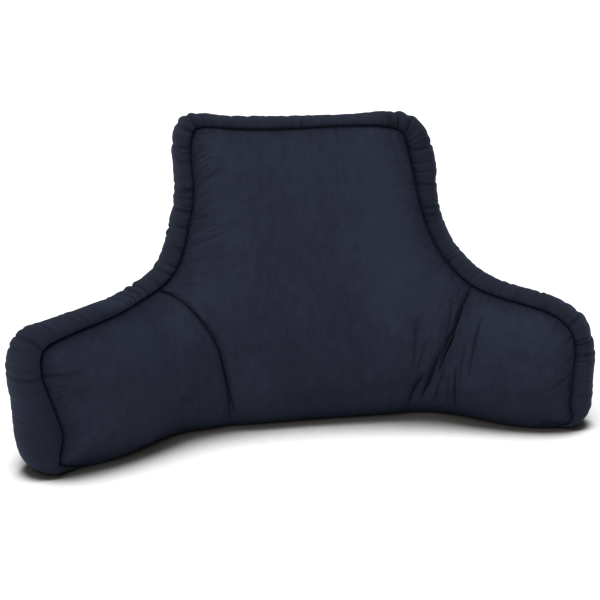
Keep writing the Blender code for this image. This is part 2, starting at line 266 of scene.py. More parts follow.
class Edge:
    """The outer edge and the seam inside it, finely sampled from the left foot to the right foot."""

    def __init__(self, rows: tuple, blend: float = 0.020, least: float = 0.0015) -> None:
        """Draws the edge, and the seam the roll's width inside it.

        Args:
            rows: (across, up, width of the roll, depth of the roll) from foot to foot.
            blend: length over which the edge's direction is averaged.
            least: least width of the roll.
        """
        drawn = smooth_line(rows)
        self.outer = np.stack([drawn[:, 0], np.maximum(drawn[:, 1], 0.0)], axis=1)
        travel = blended(np.gradient(self.outer, axis=0), blend)
        travel /= np.linalg.norm(travel, axis=1)[:, None]
        self.outward = np.stack([-travel[:, 1], travel[:, 0]], axis=1)
        self.roll = np.maximum(drawn[:, 2], least)
        self.deep = drawn[:, 3]
        self.seam = self.outer - self.outward * self.roll[:, None]
        self.run = along(self.seam)

    def nearest(self, place: tuple[float, float]) -> int:
        """Number of the sample nearest to a place."""
        return int(np.argmin(np.linalg.norm(self.seam - np.array(place), axis=1)))

    def stations(self, first: int, last: int, count: int, crowding: float) -> np.ndarray:
        """Sample numbers between two samples, spaced by the edge's and the seam's lengths together.

        Args:
            first, last: numbers of the samples at the ends.
            count: how many are wanted, the ends among them.
            crowding: how much closer they stand towards the ends.

        Returns:
            Rising sample numbers.
        """
        run = along(self.seam[first : last + 1]) + along(self.outer[first : last + 1])
        places = spread(count, crowding) * run[-1]
        return first + np.rint(np.interp(places, run, np.arange(len(run)))).astype(int)

    def from_seam(self, points: np.ndarray) -> tuple[np.ndarray, np.ndarray]:
        """Finds the nearest seam sample of each point.

        Args:
            points: places on the flat cloth.

        Returns:
            Distance to that sample, and the sample's distance along the seam.
        """

        def work(part: np.ndarray) -> np.ndarray:
            """Both distances for some of the points."""
            gaps = np.linalg.norm(part[:, None] - self.seam[None, ::2], axis=2)
            return np.stack([gaps.min(axis=1), self.run[::2][gaps.argmin(axis=1)]], axis=1)

        found = in_chunks(work, points)
        return found[:, 0], found[:, 1]


@dataclass(frozen=True)
class Fold:
    """A crease in the face where an arm leaves the back."""

    line: tuple  # (across, up) of the places it passes
    depths: tuple  # depth at even steps along it
    width: float  # distance over which its sharp middle fades
    lap: float = 0.0  # height of the cloth lapping over it, on the right side going down
    sharp: float = 0.55  # share of its depth in its sharp middle
    wide: float = 2.2  # width of its soft trough against the sharp middle's
    shadow: float = 0.0014  # half width of the painted shade at its bottom
    darkness: float = 0.0  # how dark the painted shade at its bottom is where it is deepest

    def read(self, points: np.ndarray) -> tuple[np.ndarray, np.ndarray]:
        """Depth taken off at each point, and the painted shade at the crease's bottom, from 0 to 1.

        The depth is the fold's depth there times a sharp exp(-d) and a soft exp(-(d/wide)^2), where d
        is the distance over the width. The lap is a ridge exp(-((x - 1.6)/1.2)^2) on one side. Past
        its ends the fold is narrower, so that it closes.

        Args:
            points: places on the flat cloth.

        Returns:
            One depth and one painted shade for each point.
        """
        line = smooth_line(self.line)

        def work(part: np.ndarray) -> np.ndarray:
            """Distance from the line, share of its length and side of it, for some of the points."""
            offset = part[:, None] - line[None]
            gaps = np.linalg.norm(offset, axis=2)
            index = gaps.argmin(axis=1)
            travel = np.gradient(line, axis=0)[index]
            nearest = offset[np.arange(len(part)), index]
            side = np.sign(travel[:, 0] * nearest[:, 1] - travel[:, 1] * nearest[:, 0])
            return np.stack([gaps.min(axis=1), index / (len(line) - 1), side], axis=1)

        gap, place, side = in_chunks(work, points).T
        deep = np.interp(place, np.linspace(0.0, 1.0, len(self.depths)), self.depths)
        past = np.where((place <= 0.0) | (place >= 1.0), 0.6, 1.0)
        near = gap / (self.width * past)
        soft = np.exp(-((near / self.wide) ** 2))
        shape = self.sharp * np.exp(-near) + (1.0 - self.sharp) * soft
        ridge = np.exp(-(((side * near - 1.6) / 1.2) ** 2)) * self.lap * deep / max(self.depths)
        full = deep / max(self.depths)
        # Painted shade along the crease's bottom, darkest where the fold is deepest.
        dark = np.exp(-((gap / self.shadow) ** 2)) + 0.35 * np.exp(-((gap / (3.0 * self.shadow)) ** 2))
        return deep * shape - ridge, np.clip(dark * self.darkness * np.sqrt(full) * past, 0.0, 1.0)


@dataclass(frozen=True)
class Gathers:
    """Short puckers that run into the face from its seam."""

    zones: tuple  # (across, up, depth, reach, slant) of places on the seam
    seed: int = 7
    spacing: tuple[float, float] = (0.009, 0.019)  # least and greatest between two puckers
    width: tuple[float, float] = (0.0022, 0.0052)  # least and greatest half width
    lean_reach: float = 0.08  # how far into the cloth a pucker keeps its slant
    full_depth: float = 0.0022  # zone depth at which the finest gathers are at full strength
    finest_reach: float = 0.11  # the finest gathers end this far from the seam
    finest_fade: float = 0.06  # and fade over this last stretch
    corner_share: float = 0.875  # smooth distance over true distance at which they start
    corner_fade: float = 0.09  # rise of that share over which they come in

    def at(self, run: np.ndarray, edge: Edge, column: int) -> np.ndarray:
        """Reads one column of the zones' table along the seam.

        Args:
            run: distances along the seam.
            edge: the seam.
            column: number of the column.

        Returns:
            One value for each distance, on the straight line between two rows.
        """
        marks = edge.run[[edge.nearest(row[:2]) for row in self.zones]]
        return np.interp(run, marks, [row[column] for row in self.zones])

    def lean(self, slant: np.ndarray, distance: np.ndarray) -> np.ndarray:
        """How far a pucker has moved along the seam, at a distance d into the cloth: s d/(1 + d/reach)."""
        return slant * distance / (1.0 + distance / self.lean_reach)

    def fine(self, points: np.ndarray, edge: Edge, smooth: np.ndarray) -> np.ndarray:
        """Place of each point among the finest gathers, which the finish draws.

        Args:
            points: places on the flat cloth.
            edge: the seam.
            smooth: smooth distance from the seam, which is under the true one where two stretches of
                seam are equally near. The gathers stop there.

        Returns:
            Distance along the seam where the point's own gather starts, distance from the seam, and
            strength: the zone's depth over the full depth, fading out of the seam and into the cloth.
        """
        gap, run = edge.from_seam(points)
        fade = np.exp(-gap / (0.9 * self.at(run, edge, 3))) * (1.0 - np.exp(-gap / 0.003))
        fade *= smoothstep((smooth / np.maximum(gap, 1e-6) - self.corner_share) / self.corner_fade)
        fade *= smoothstep((self.finest_reach - gap) / self.finest_fade)
        start = run - self.lean(self.at(run, edge, 4), gap)
        strength = np.clip(self.at(run, edge, 2) / self.full_depth, 0.0, 1.4) * fade
        return np.stack([start, gap, strength], axis=1)

    def read(self, points: np.ndarray, edge: Edge) -> tuple[np.ndarray, np.ndarray]:
        """Depth taken off at each point by the puckers, and the painted shade in their valleys.

        Each pucker is a valley exp(-(x/width)^2) across its own line, which leaves the seam at the
        slant given there, and fades as exp(-distance/reach) into the cloth. A low ridge lies beside it.

        Args:
            points: places on the flat cloth.
            edge: the seam.

        Returns:
            One depth and one darkness for each point.
        """
        random = np.random.default_rng(self.seed)
        middles = np.cumsum(random.uniform(*self.spacing, 400))
        middles = middles[middles < edge.run[-1]]
        widths = random.uniform(*self.width, len(middles))
        strengths = random.uniform(0.15, 1.0, len(middles)) ** 1.5
        reaches = random.uniform(0.5, 1.5, len(middles))
        depth, reach, slant = (self.at(middles, edge, column) for column in (2, 3, 4))
        slant = slant + random.normal(0.0, 0.18, len(middles))
        gap, run = edge.from_seam(points)

        def work(part: np.ndarray) -> np.ndarray:
            """Valleys with their ridges, and valleys alone for the painted shade, summed over the puckers for
            some points.
            """
            distance, place = part[:, :1], part[:, 1:]
            offset = place - self.lean(slant, distance) - middles
            shape = np.exp(-((offset / (widths * (1.0 + distance / 0.05))) ** 2))
            fade = np.exp(-distance / (reach * reaches)) * (1.0 - np.exp(-distance / 0.004))
            ridge = np.exp(-(((offset - 2.2 * widths) / (1.6 * widths)) ** 2))
            strength = fade * strengths * depth
            cut = ((shape - 0.6 * ridge) * strength).sum(axis=1)
            return np.stack([cut, (shape * strength).sum(axis=1)], axis=1)

        found = in_chunks(work, np.stack([gap, run], axis=1))
        return found[:, 0], np.clip(found[:, 1] / 0.0025, 0.0, 1.0)


@dataclass(frozen=True)
class Filling:
    """How far the filling pushes the panels out from their seams."""

    front_seam: float = 0.030  # how far the front seam lies ahead of the plan line
    edge_rise: float = 0.018  # height of the steep rise out of the seam
    edge_run: float = 0.010  # distance over which it rises
    dome_rise: float = 0.028  # height of the slow dome on top of it
    dome_run: float = 0.060  # distance over which that rises
    wedge: float = 0.075  # extra filling behind the back's foot
    wedge_top: float = 0.40  # height at which it ends
    wedge_middle: float = 0.02  # across
    wedge_side: float = 0.27  # how far it reaches to either side of its middle
    floor_round: float = 0.045  # height below which the panels draw in towards the floor
    floor_front: float = 0.15  # share of the face's swelling kept at the floor
    floor_rear: float = 0.60  # share of the rear's

    def swelling(self, distance: np.ndarray) -> np.ndarray:
        """A steep rise out of the seam plus a slow dome: r(1 - exp(-d/a)) + q(1 - exp(-(d/b)^1.5))."""
        steep = self.edge_rise * (1.0 - np.exp(-distance / self.edge_run))
        return steep + self.dome_rise * (1.0 - np.exp(-((distance / self.dome_run) ** 1.5)))

    def kept(self, up: np.ndarray, least: float) -> np.ndarray:
        """Share of the swelling kept near the floor: a quarter ellipse from the least share to 1."""
        short = 1.0 - np.clip(up / self.floor_round, 0.0, 1.0)
        return least + (1.0 - least) * np.sqrt(1.0 - short * short)

    def near_seam(self, points: np.ndarray, edge: Edge) -> tuple[np.ndarray, np.ndarray]:
        """Smooth distance from the seam, and the depth between the seams carried in from it.

        The distance is (sum of gap^-6 / 1.1781)^(-1/5), which is exact beside a straight seam and
        rounded over at corners. The depth is the seam's, weighted by gap^-4.

        Args:
            points: places on the flat cloth.
            edge: the seam.

        Returns:
            One distance and one depth for each point.
        """
        seam, deep, step = edge.seam[::2], edge.deep[::2], 2.0 * SAMPLE

        def work(part: np.ndarray) -> np.ndarray:
            """Distance and depth for some of the points."""
            gaps = np.linalg.norm(part[:, None] - seam[None], axis=2)
            total = np.sum(np.maximum(gaps, 0.5 * step) ** -6.0, axis=1) * step
            distance = np.where(gaps.min(axis=1) < 0.6 * step, 0.0, (total / 1.1781) ** -0.2)
            weights = np.maximum(gaps, 1e-6) ** -4.0
            return np.stack([distance, weights @ deep / weights.sum(axis=1)], axis=1)

        found = in_chunks(work, points)
        return found[:, 0], found[:, 1]


# The body


@dataclass(frozen=True)
class Fineness:
    """Rows and columns of cloth on the panels."""

    low: int  # rows from the floor to the arms' tops
    high: int  # rows from there to the top
    arm: int  # columns over an arm
    back: int  # columns over the back
    crowding: float = 0.68  # how much closer they stand towards the seams and folds

    def halved(self) -> "Fineness":
        """The same cloth with every second row and column."""
        counts = (self.low, self.high, self.arm, self.back)
        return Fineness(*((count + 1) // 2 for count in counts), self.crowding)


@dataclass(frozen=True)
class Marks:
    """Corners of the cloth on the seam, as (across, up)."""

    arm_left: tuple[float, float] = (-0.448, 0.180)
    waist_left: tuple[float, float] = (-0.212, 0.203)
    top_left: tuple[float, float] = (-0.128, 0.430)
    top_right: tuple[float, float] = (0.167, 0.429)
    waist_right: tuple[float, float] = (0.284, 0.214)
    arm_right: tuple[float, float] = (0.432, 0.170)


class Pattern:
    """The sheets of the left arm, the back and the right arm, laid flat."""

    def __init__(self, edge: Edge, marks: Marks, folds: tuple[Fold, Fold], fine: Fineness) -> None:
        """Fills the outline with three sheets that meet on the two folds.

        Args:
            edge: the outline.
            marks: where on the seam the sheets' corners lie.
            folds: the left and the right fold.
            fine: how many rows and columns the sheets have.
        """
        self.edge, self.fine = edge, fine
        left = (marks.arm_left, marks.waist_left, marks.top_left)
        corners = (*left, marks.top_right, marks.waist_right, marks.arm_right)
        ends = [0, *(edge.nearest(corner) for corner in corners), len(edge.seam) - 1]
        counts = (fine.low, fine.arm, fine.high, fine.back, fine.high, fine.arm, fine.low)
        parts = [edge.stations(a, b, n, fine.crowding) for a, b, n in zip(ends[:-1], ends[1:], counts)]
        self.stations = np.concatenate([parts[0]] + [part[1:] for part in parts[1:]])
        lines = [edge.seam[part] for part in parts]
        end_left, top_left, side_left, top, side_right, top_right, end_right = lines
        fold_left, fold_right = self.fold(folds[0], side_left[0]), self.fold(folds[1], top_right[0])
        floors = (
            self.floor_line(end_left[0], fold_left[0], fine.arm),
            self.floor_line(fold_left[0], fold_right[0], fine.back),
            self.floor_line(fold_right[0], end_right[-1], fine.arm),
        )
        back_left = np.concatenate([fold_left, side_left[1:]])
        back_right = np.concatenate([fold_right, side_right[::-1][1:]])
        self.sheets = (
            coons(end_left, fold_left, floors[0], top_left),
            coons(back_left, back_right, floors[1], top),
            coons(fold_right, end_right[::-1], floors[2], top_right),
        )
        self.floor = np.concatenate([floors[0], floors[1][1:], floors[2][1:]])

    def fold(self, fold: Fold, waist: np.ndarray) -> np.ndarray:
        """The rows' ends on a fold.

        Args:
            fold: the fold between an arm and the back.
            waist: the place on the seam that the fold starts from.

        Returns:
            Places from the floor up to the waist.
        """
        line = smooth_line((tuple(waist), *fold.line))[::-1]
        line[0, 1] = 0.0
        line[-1] = waist
        return read_along(line, spread(self.fine.low, self.fine.crowding))

    def floor_line(self, start: np.ndarray, end: np.ndarray, count: int) -> np.ndarray:
        """The columns' feet on the floor.

        Args:
            start, end: the first and the last of them.
            count: how many there are.

        Returns:
            Places from left to right.
        """
        line = start + spread(count, self.fine.crowding)[:, None] * (end - start)
        line[1:-1, 1] = 0.0
        return line


@dataclass(frozen=True)
class ClothMesh:
    """Points and quads ready for a mesh, with what the finish reads at each point."""

    points: np.ndarray
    quads: np.ndarray
    flat: np.ndarray  # place on the flat cloth
    dark: np.ndarray  # painted shade, from 0, open cloth, to 1, the bottom of a fold
    gathered: np.ndarray  # distance along the seam, distance from it, and strength
    nap_and_painted_light: np.ndarray  # painted light and shade: how much the nap is painted as catching the light

    def faces(self) -> list[list[int]]:
        """The quads, with a triangle for each that has two corners in one point."""
        same = self.quads == np.roll(self.quads, -1, axis=1)
        kept = self.quads[~same.any(axis=1)].tolist()
        for side in range(4):
            alone = same[:, side] & (same.sum(axis=1) == 1)
            kept += np.delete(self.quads[alone], side, axis=1).tolist()
        return kept

    def to_object(self, name: str) -> bpy.types.Object:
        """A smooth-shaded object holding this cloth.

        Args:
            name: the object's name.

        Returns:
            The object, linked into the scene.
        """
        mesh = bpy.data.meshes.new(name)
        mesh.from_pydata(self.points.tolist(), [], self.faces())
        for key, values in ((PATTERN, self.flat), (GATHERED, self.gathered)):
            vectors = mesh.attributes.new(key, "FLOAT_VECTOR", "POINT")
            vectors.data.foreach_set("vector", values.astype(np.float32).ravel())
        for key, values in ((PAINTED_SHADE_ATTRIBUTE, self.dark), (PAINTED_LIGHT_ATTRIBUTE, self.nap_and_painted_light)):
            numbers = mesh.attributes.new(key, "FLOAT", "POINT")
            numbers.data.foreach_set("value", values.astype(np.float32))
        mesh.shade_smooth()
        mesh.validate()
        made = bpy.data.objects.new(name, mesh)
        bpy.context.scene.collection.objects.link(made)
        return made


@dataclass(frozen=True)
class PaintedLightPatches:
    """Places where the face is painted lighter, as if its nap lay towards the light, or darker: painted light
    and painted shade.
    """

    places: tuple  # (across, up, half width, half height, lift)

    def read(self, points: np.ndarray) -> np.ndarray:
        """Painted light at each point, negative for painted shade: the sum of lift times exp(-(x/w)^2 -
        (y/h)^2) over the places.
        """
        across, up, width, height, lift = np.array(self.places).T
        x, y = (points[:, :1] - across) / width, (points[:, 1:2] - up) / height
        return (lift * np.exp(-x * x - y * y)).sum(axis=1)


class Patchwork:
    """Grids of cloth on their way to one closed mesh."""

    def __init__(self) -> None:
        """Starts with no grid."""
        self.points: list[np.ndarray] = []
        self.flats: list[np.ndarray] = []
        self.darks: list[np.ndarray] = []
        self.fines: list[np.ndarray] = []
        self.quads: list[np.ndarray] = []
        self.spans: dict[tuple[Side, int], slice] = {}
        self.count = 0

    def add(
        self, grid: np.ndarray, flat: np.ndarray, dark: np.ndarray, fine: np.ndarray, flip: bool
    ) -> slice:
        """Adds a grid of points, with a quad in each of its cells.

        Args:
            grid: rows of columns of points.
            flat, dark, fine: place on the cloth, painted shade and finest gathers, one row for each point.
            flip: whether its quads face the other way.

        Returns:
            The numbers of its points.
        """
        rows, columns = grid.shape[:2]
        corner = self.count + np.arange(rows - 1)[:, None] * columns + np.arange(columns - 1)[None]
        quad = np.stack([corner, corner + 1, corner + columns + 1, corner + columns], axis=-1).reshape(-1, 4)
        self.points.append(grid.reshape(-1, 3))
        self.flats.append(flat)
        self.darks.append(dark)
        self.fines.append(fine)
        self.quads.append(quad[:, ::-1] if flip else quad)
        self.count += rows * columns
        return slice(self.count - rows * columns, self.count)

    def joined(self, moved: Grids, painted_patches: PaintedLightPatches) -> tuple[ClothMesh, Grids]:
        """Joins the points that lie in one place.

        Args:
            moved: how far the panels' sheets have moved, as grids of the sheets' own shape.
            painted_patches: where light and shade are painted on the face.

        Returns:
            The cloth, and the number of its point at each node of each panel's sheets.
        """
        points = np.concatenate(self.points)
        places = np.rint(points / JOINED).astype(np.int64)
        _, first, index = np.unique(places, axis=0, return_index=True, return_inverse=True)
        index = index.reshape(-1)
        kept = points[first]
        for key, grid in moved.items():
            kept[index[self.spans[key]]] = points[self.spans[key]] + grid.reshape(-1, 3)
        own = [np.concatenate(values)[first] for values in (self.flats, self.darks, self.fines)]
        cloth = ClothMesh(kept, index[np.concatenate(self.quads)], *own, painted_patches.read(own[0]))
        return cloth, {key: index[span] for key, span in self.spans.items()}


class Body:
    """The filled body: face and rear panels, the wall under the roll and the flat base."""

    def __init__(
        self,
        plan: Plan,
        pattern: Pattern,
        filling: Filling,
        folds: tuple[Fold, ...],
        gathers: Gathers,
        painted_patches: PaintedLightPatches,
    ) -> None:
        """Takes what shapes the body.

        Args:
            plan: how the cloth stands.
            pattern: the flat sheets.
            filling: how far it swells.
            folds: the two folds of the arms, then the small ones.
            gathers: the puckers at the seam.
            painted_patches: where light and shade are painted on the face.
        """
        self.plan, self.pattern, self.filling = plan, pattern, filling
        self.folds, self.gathers, self.painted_patches = folds, gathers, painted_patches
        self.flats = [sheet.reshape(-1, 2) for sheet in pattern.sheets]

    @staticmethod
    def painted_seam_shade(gap: np.ndarray) -> np.ndarray:
        """Painted shade beside the seam, at a distance from it: a narrow dark line and a wider shade."""
        return 0.95 * np.exp(-((gap / 0.0024) ** 2)) + 0.35 * np.exp(-gap / 0.008)

    def face_depth(self, points: np.ndarray, detail: bool) -> tuple[np.ndarray, np.ndarray]:
        """Depth of the face panel, and its painted shade.

        Args:
            points: places on the flat cloth.
            detail: whether the small folds and the gathers are wanted too.

        Returns:
            Depth, negative towards the sitter, and painted shade. The swelling, less the folds and
            gathers, is drawn in at the floor and never goes behind the seam.
        """
        fill, edge = self.filling, self.pattern.edge
        distance, _ = fill.near_seam(points, edge)
        out = fill.swelling(distance)
        cut, dark = np.zeros(len(points)), np.zeros(len(points))
        wanted = self.folds if detail else self.folds[:2]
        for fold in wanted:
            fold_cut, fold_dark = fold.read(points)
            cut, dark = cut + fold_cut, np.maximum(dark, fold_dark)
        if detail:
            gather_cut, gather_dark = self.gathers.read(points, edge)
            gap, _ = edge.from_seam(points)
            cut += gather_cut
            # Painted shade in the folds and the puckers' valleys, and beside the seam.
            dark = np.clip(np.maximum(dark, 0.6 * gather_dark) + self.painted_seam_shade(gap), 0.0, 1.0)
        settled = out * fill.kept(points[:, 1], fill.floor_front)
        return -fill.front_seam - np.maximum(settled - cut * smoothstep(out / fill.edge_rise), 0.0), dark

    def rear_depth(self, points: np.ndarray, detail: bool) -> tuple[np.ndarray, np.ndarray]:
        """Depth of the rear panel, with its extra filling behind the back's foot, and its painted shade.

        Args:
            points: places on the flat cloth.
            detail: whether the gathers are wanted too.

        Returns:
            Depth, positive away from the sitter, and painted shade.
        """
        fill, edge = self.filling, self.pattern.edge
        distance, deep = fill.near_seam(points, edge)
        height = np.clip(1.0 - points[:, 1] / fill.wedge_top, 0.0, 1.0)
        side = smoothstep(1.0 - np.abs(points[:, 0] - fill.wedge_middle) / fill.wedge_side)
        wedge = fill.wedge * height * side * (1.0 - np.exp(-distance / fill.dome_run))
        out = (fill.swelling(distance) + wedge) * fill.kept(points[:, 1], fill.floor_rear)
        if not detail:
            return deep - fill.front_seam + out, np.zeros(len(points))
        cut, dark = self.gathers.read(points, edge)
        gap, _ = edge.from_seam(points)
        # Painted shade in the puckers' valleys and beside the seam.
        dark = np.clip(0.5 * dark + self.painted_seam_shade(gap), 0.0, 1.0)
        gathered = np.maximum(out - 0.7 * cut * smoothstep(out / fill.edge_rise), 0.0)
        return deep - fill.front_seam + gathered, dark

    def depth(self, side: Side, points: np.ndarray, detail: bool) -> tuple[np.ndarray, np.ndarray]:
        """Depth and painted shade of one panel."""
        return self.face_depth(points, detail) if side is Side.FACE else self.rear_depth(points, detail)

    def build(self, detail: bool, moved: Grids | None = None) -> tuple[ClothMesh, Grids]:
        """Joins the panels, the wall and the base into one closed cloth.

        Args:
            detail: whether small folds and gathers are drawn.
            moved: how far each panel's sheets have moved, as grids of the sheets' own shape.

        Returns:
            The cloth, and the number of its point at each node of each panel's sheets.
        """
        work, edge = Patchwork(), self.pattern.edge
        for side in Side:
            for i, (sheet, flat) in enumerate(zip(self.pattern.sheets, self.flats)):
                deep, dark = self.depth(side, flat, detail)
                fine = np.zeros((len(flat), 3))
                if detail:
                    fine = self.gathers.fine(flat, edge, self.filling.near_seam(flat, edge)[0])
                placed = self.plan.place(flat[:, 0], flat[:, 1], deep).reshape(*sheet.shape[:2], 3)
                flip = side is Side.REAR
                work.spans[side, i] = work.add(placed, self.on_cloth(flat, side), dark, fine, flip)
        for line, flip in ((edge.seam[self.pattern.stations], False), (self.pattern.floor, True)):
            depths = [self.depth(side, line, detail)[0] for side in Side]
            ends = [self.plan.place(line[:, 0], line[:, 1], depth) for depth in depths]
            flat = np.concatenate([self.on_cloth(line, side) for side in Side])
            work.add(np.stack(ends), flat, np.zeros(len(flat)), np.zeros((len(flat), 3)), flip)
        return work.joined(moved or {}, self.painted_patches)

    @staticmethod
    def on_cloth(flat: np.ndarray, side: Side) -> np.ndarray:
        """Place on the cloth, with the rear panel's a metre away from the face's."""
        shift = 0.0 if side is Side.FACE else 1.0
        return np.stack([flat[:, 0] + shift, flat[:, 1], np.full(len(flat), shift)], axis=1)


@dataclass(frozen=True)
class Inflation:
    """Cloth simulation that lets the filling work the panels into shape."""

    pressure: float = 4.0
    extra: float = 0.012  # how much more cloth there is than surface
    frames: int = 20
    most: float = 0.007  # farthest that a point may move
    stiffness: float = 12.0
    bending: float = 0.25
    weight: float = 0.25  # of each point
    damping: float = 6.0
    quality: int = 5
    calm_height: float = 0.06  # the cloth moves less and less below this height
    seam_margin: float = 0.003  # points nearer to the seam are held
    floor_margin: float = 0.002  # and so are points below this height

    def run(self, body: Body) -> Grids:
        """How far each node of a coarser copy of the panels moves.

        The seams, the wall and the base are held. The cloth is a little larger than the surface it
        covers, so the filling's pressure works it into soft hollows and gathers beside the seams.

        Args:
            body: the body at half its fineness.

        Returns:
            Moves on each panel's sheets, at the body's full fineness.
        """
        cloth, numbers = body.build(detail=False)
        piece = cloth.to_object("filling_work")
        before = cloth.points
        group = piece.vertex_groups.new(name="held")
        held = self.held(body, numbers, len(before))
        group.add(np.flatnonzero(held).tolist(), 1.0, "REPLACE")
        modifier = piece.modifiers.new("filling", "CLOTH")
        settings = modifier.settings
        settings.quality = self.quality
        settings.mass = self.weight
        settings.tension_stiffness = settings.compression_stiffness = self.stiffness
        settings.shear_stiffness = 0.5 * self.stiffness
        settings.bending_stiffness = self.bending
        settings.air_damping = self.damping
        settings.use_pressure = True
        settings.uniform_pressure_force = self.pressure
        settings.shrink_min = -self.extra
        settings.vertex_group_mass = group.name
        settings.pin_stiffness = 1.0
        settings.effector_weights.gravity = 0.0
        modifier.collision_settings.use_collision = False
        modifier.point_cache.frame_start, modifier.point_cache.frame_end = 1, self.frames
        for frame in range(1, self.frames + 1):
            bpy.context.scene.frame_set(frame)
        shaped = piece.evaluated_get(bpy.context.evaluated_depsgraph_get())
        after = np.empty(len(before) * 3, np.float32)
        shaped.data.vertices.foreach_get("co", after)
        bpy.context.scene.frame_set(1)
        mesh = piece.data
        bpy.data.objects.remove(piece, do_unlink=True)
        bpy.data.meshes.remove(mesh)
        moved = after.reshape(-1, 3) - before
        size = np.linalg.norm(moved, axis=1)[:, None]
        LOG.info("filling moved the cloth by %.1f mm at most", 1000.0 * float(size.max()))
        moved *= self.most * np.tanh(size / self.most) / np.maximum(size, 1e-9)
        moved *= smoothstep(before[:, 2:] / self.calm_height)
        shapes = [sheet.shape[:2] for sheet in body.pattern.sheets]
        return {key: doubled(moved[number].reshape(*shapes[key[1]], 3)) for key, number in numbers.items()}

    def held(self, body: Body, numbers: Grids, count: int) -> np.ndarray:
        """Marks the points that stay put: all but the panels' own inner nodes.

        Args:
            body: the body.
            numbers: the number of the point at each node of each panel's sheets.
            count: how many points there are.

        Returns:
            True for each point that stays put.
        """
        held = np.ones(count, bool)
        for (_, i), number in numbers.items():
            flat = body.flats[i]
            gap, _ = body.pattern.edge.from_seam(flat)
            free = (gap > self.seam_margin) & (flat[:, 1] > self.floor_margin)
            held[number[free]] = False
        return held


def doubled(grid: np.ndarray) -> np.ndarray:
    """A grid with a row and a column added between each two.

    Args:
        grid: rows of columns of values.

    Returns:
        The grid, where each added value is (9(b + c) - a - d)/16 of the four in line with it.
    """
    for axis in (0, 1):
        rows = np.moveaxis(grid, axis, 0)
        padded = np.concatenate([rows[:1], rows, rows[-1:]])
        between = (9.0 * (padded[1:-2] + padded[2:-1]) - padded[:-3] - padded[3:]) / 16.0
        full = np.empty((2 * len(rows) - 1, *rows.shape[1:]))
        full[::2], full[1::2] = rows, between
        grid = np.moveaxis(full, 0, axis)
    return grid


# The edge roll


@dataclass(frozen=True)
class RollSize:
    """The stuffed roll's section and puckers."""

    gap: float = -0.0004  # how far it stands off the seam; the two are sewn, so it reaches into it
    front_seam: float = 0.030  # how far the front seam lies ahead of the plan line
    bulge: float = 0.009  # how far it swells past each seam
    bulge_share: float = 0.45  # that is never more than this share of its width
    square: float = 0.85  # power of the cosine: below 1 the section is squarer than an ellipse
    around: int = 36  # points round the section
    spacing: float = 0.0016  # between two sections
    full_width: float = 0.016  # width from which it is puckered and lumped in full
    pucker_spacing: tuple[float, float] = (0.007, 0.018)  # least and greatest between two puckers
    pucker_width: tuple[float, float] = (0.0014, 0.0034)  # least and greatest half width
    pucker_depth: float = 0.0024
    pucker_sink: float = 0.030  # depth of a pucker that would close half the section's thickness
    lump: float = 0.045  # share of the width by which the filling lies unevenly
    long_lumps: Wander = Wander(31, 0.035)
    short_lumps: Wander = Wander(32, 0.014)
    seed: int = 19
    crinkled: tuple = ()  # (across, up, strength) of how crinkled the roll is along the edge
    pinched: tuple = ()  # (across, up, strength, width) of its deepest puckers


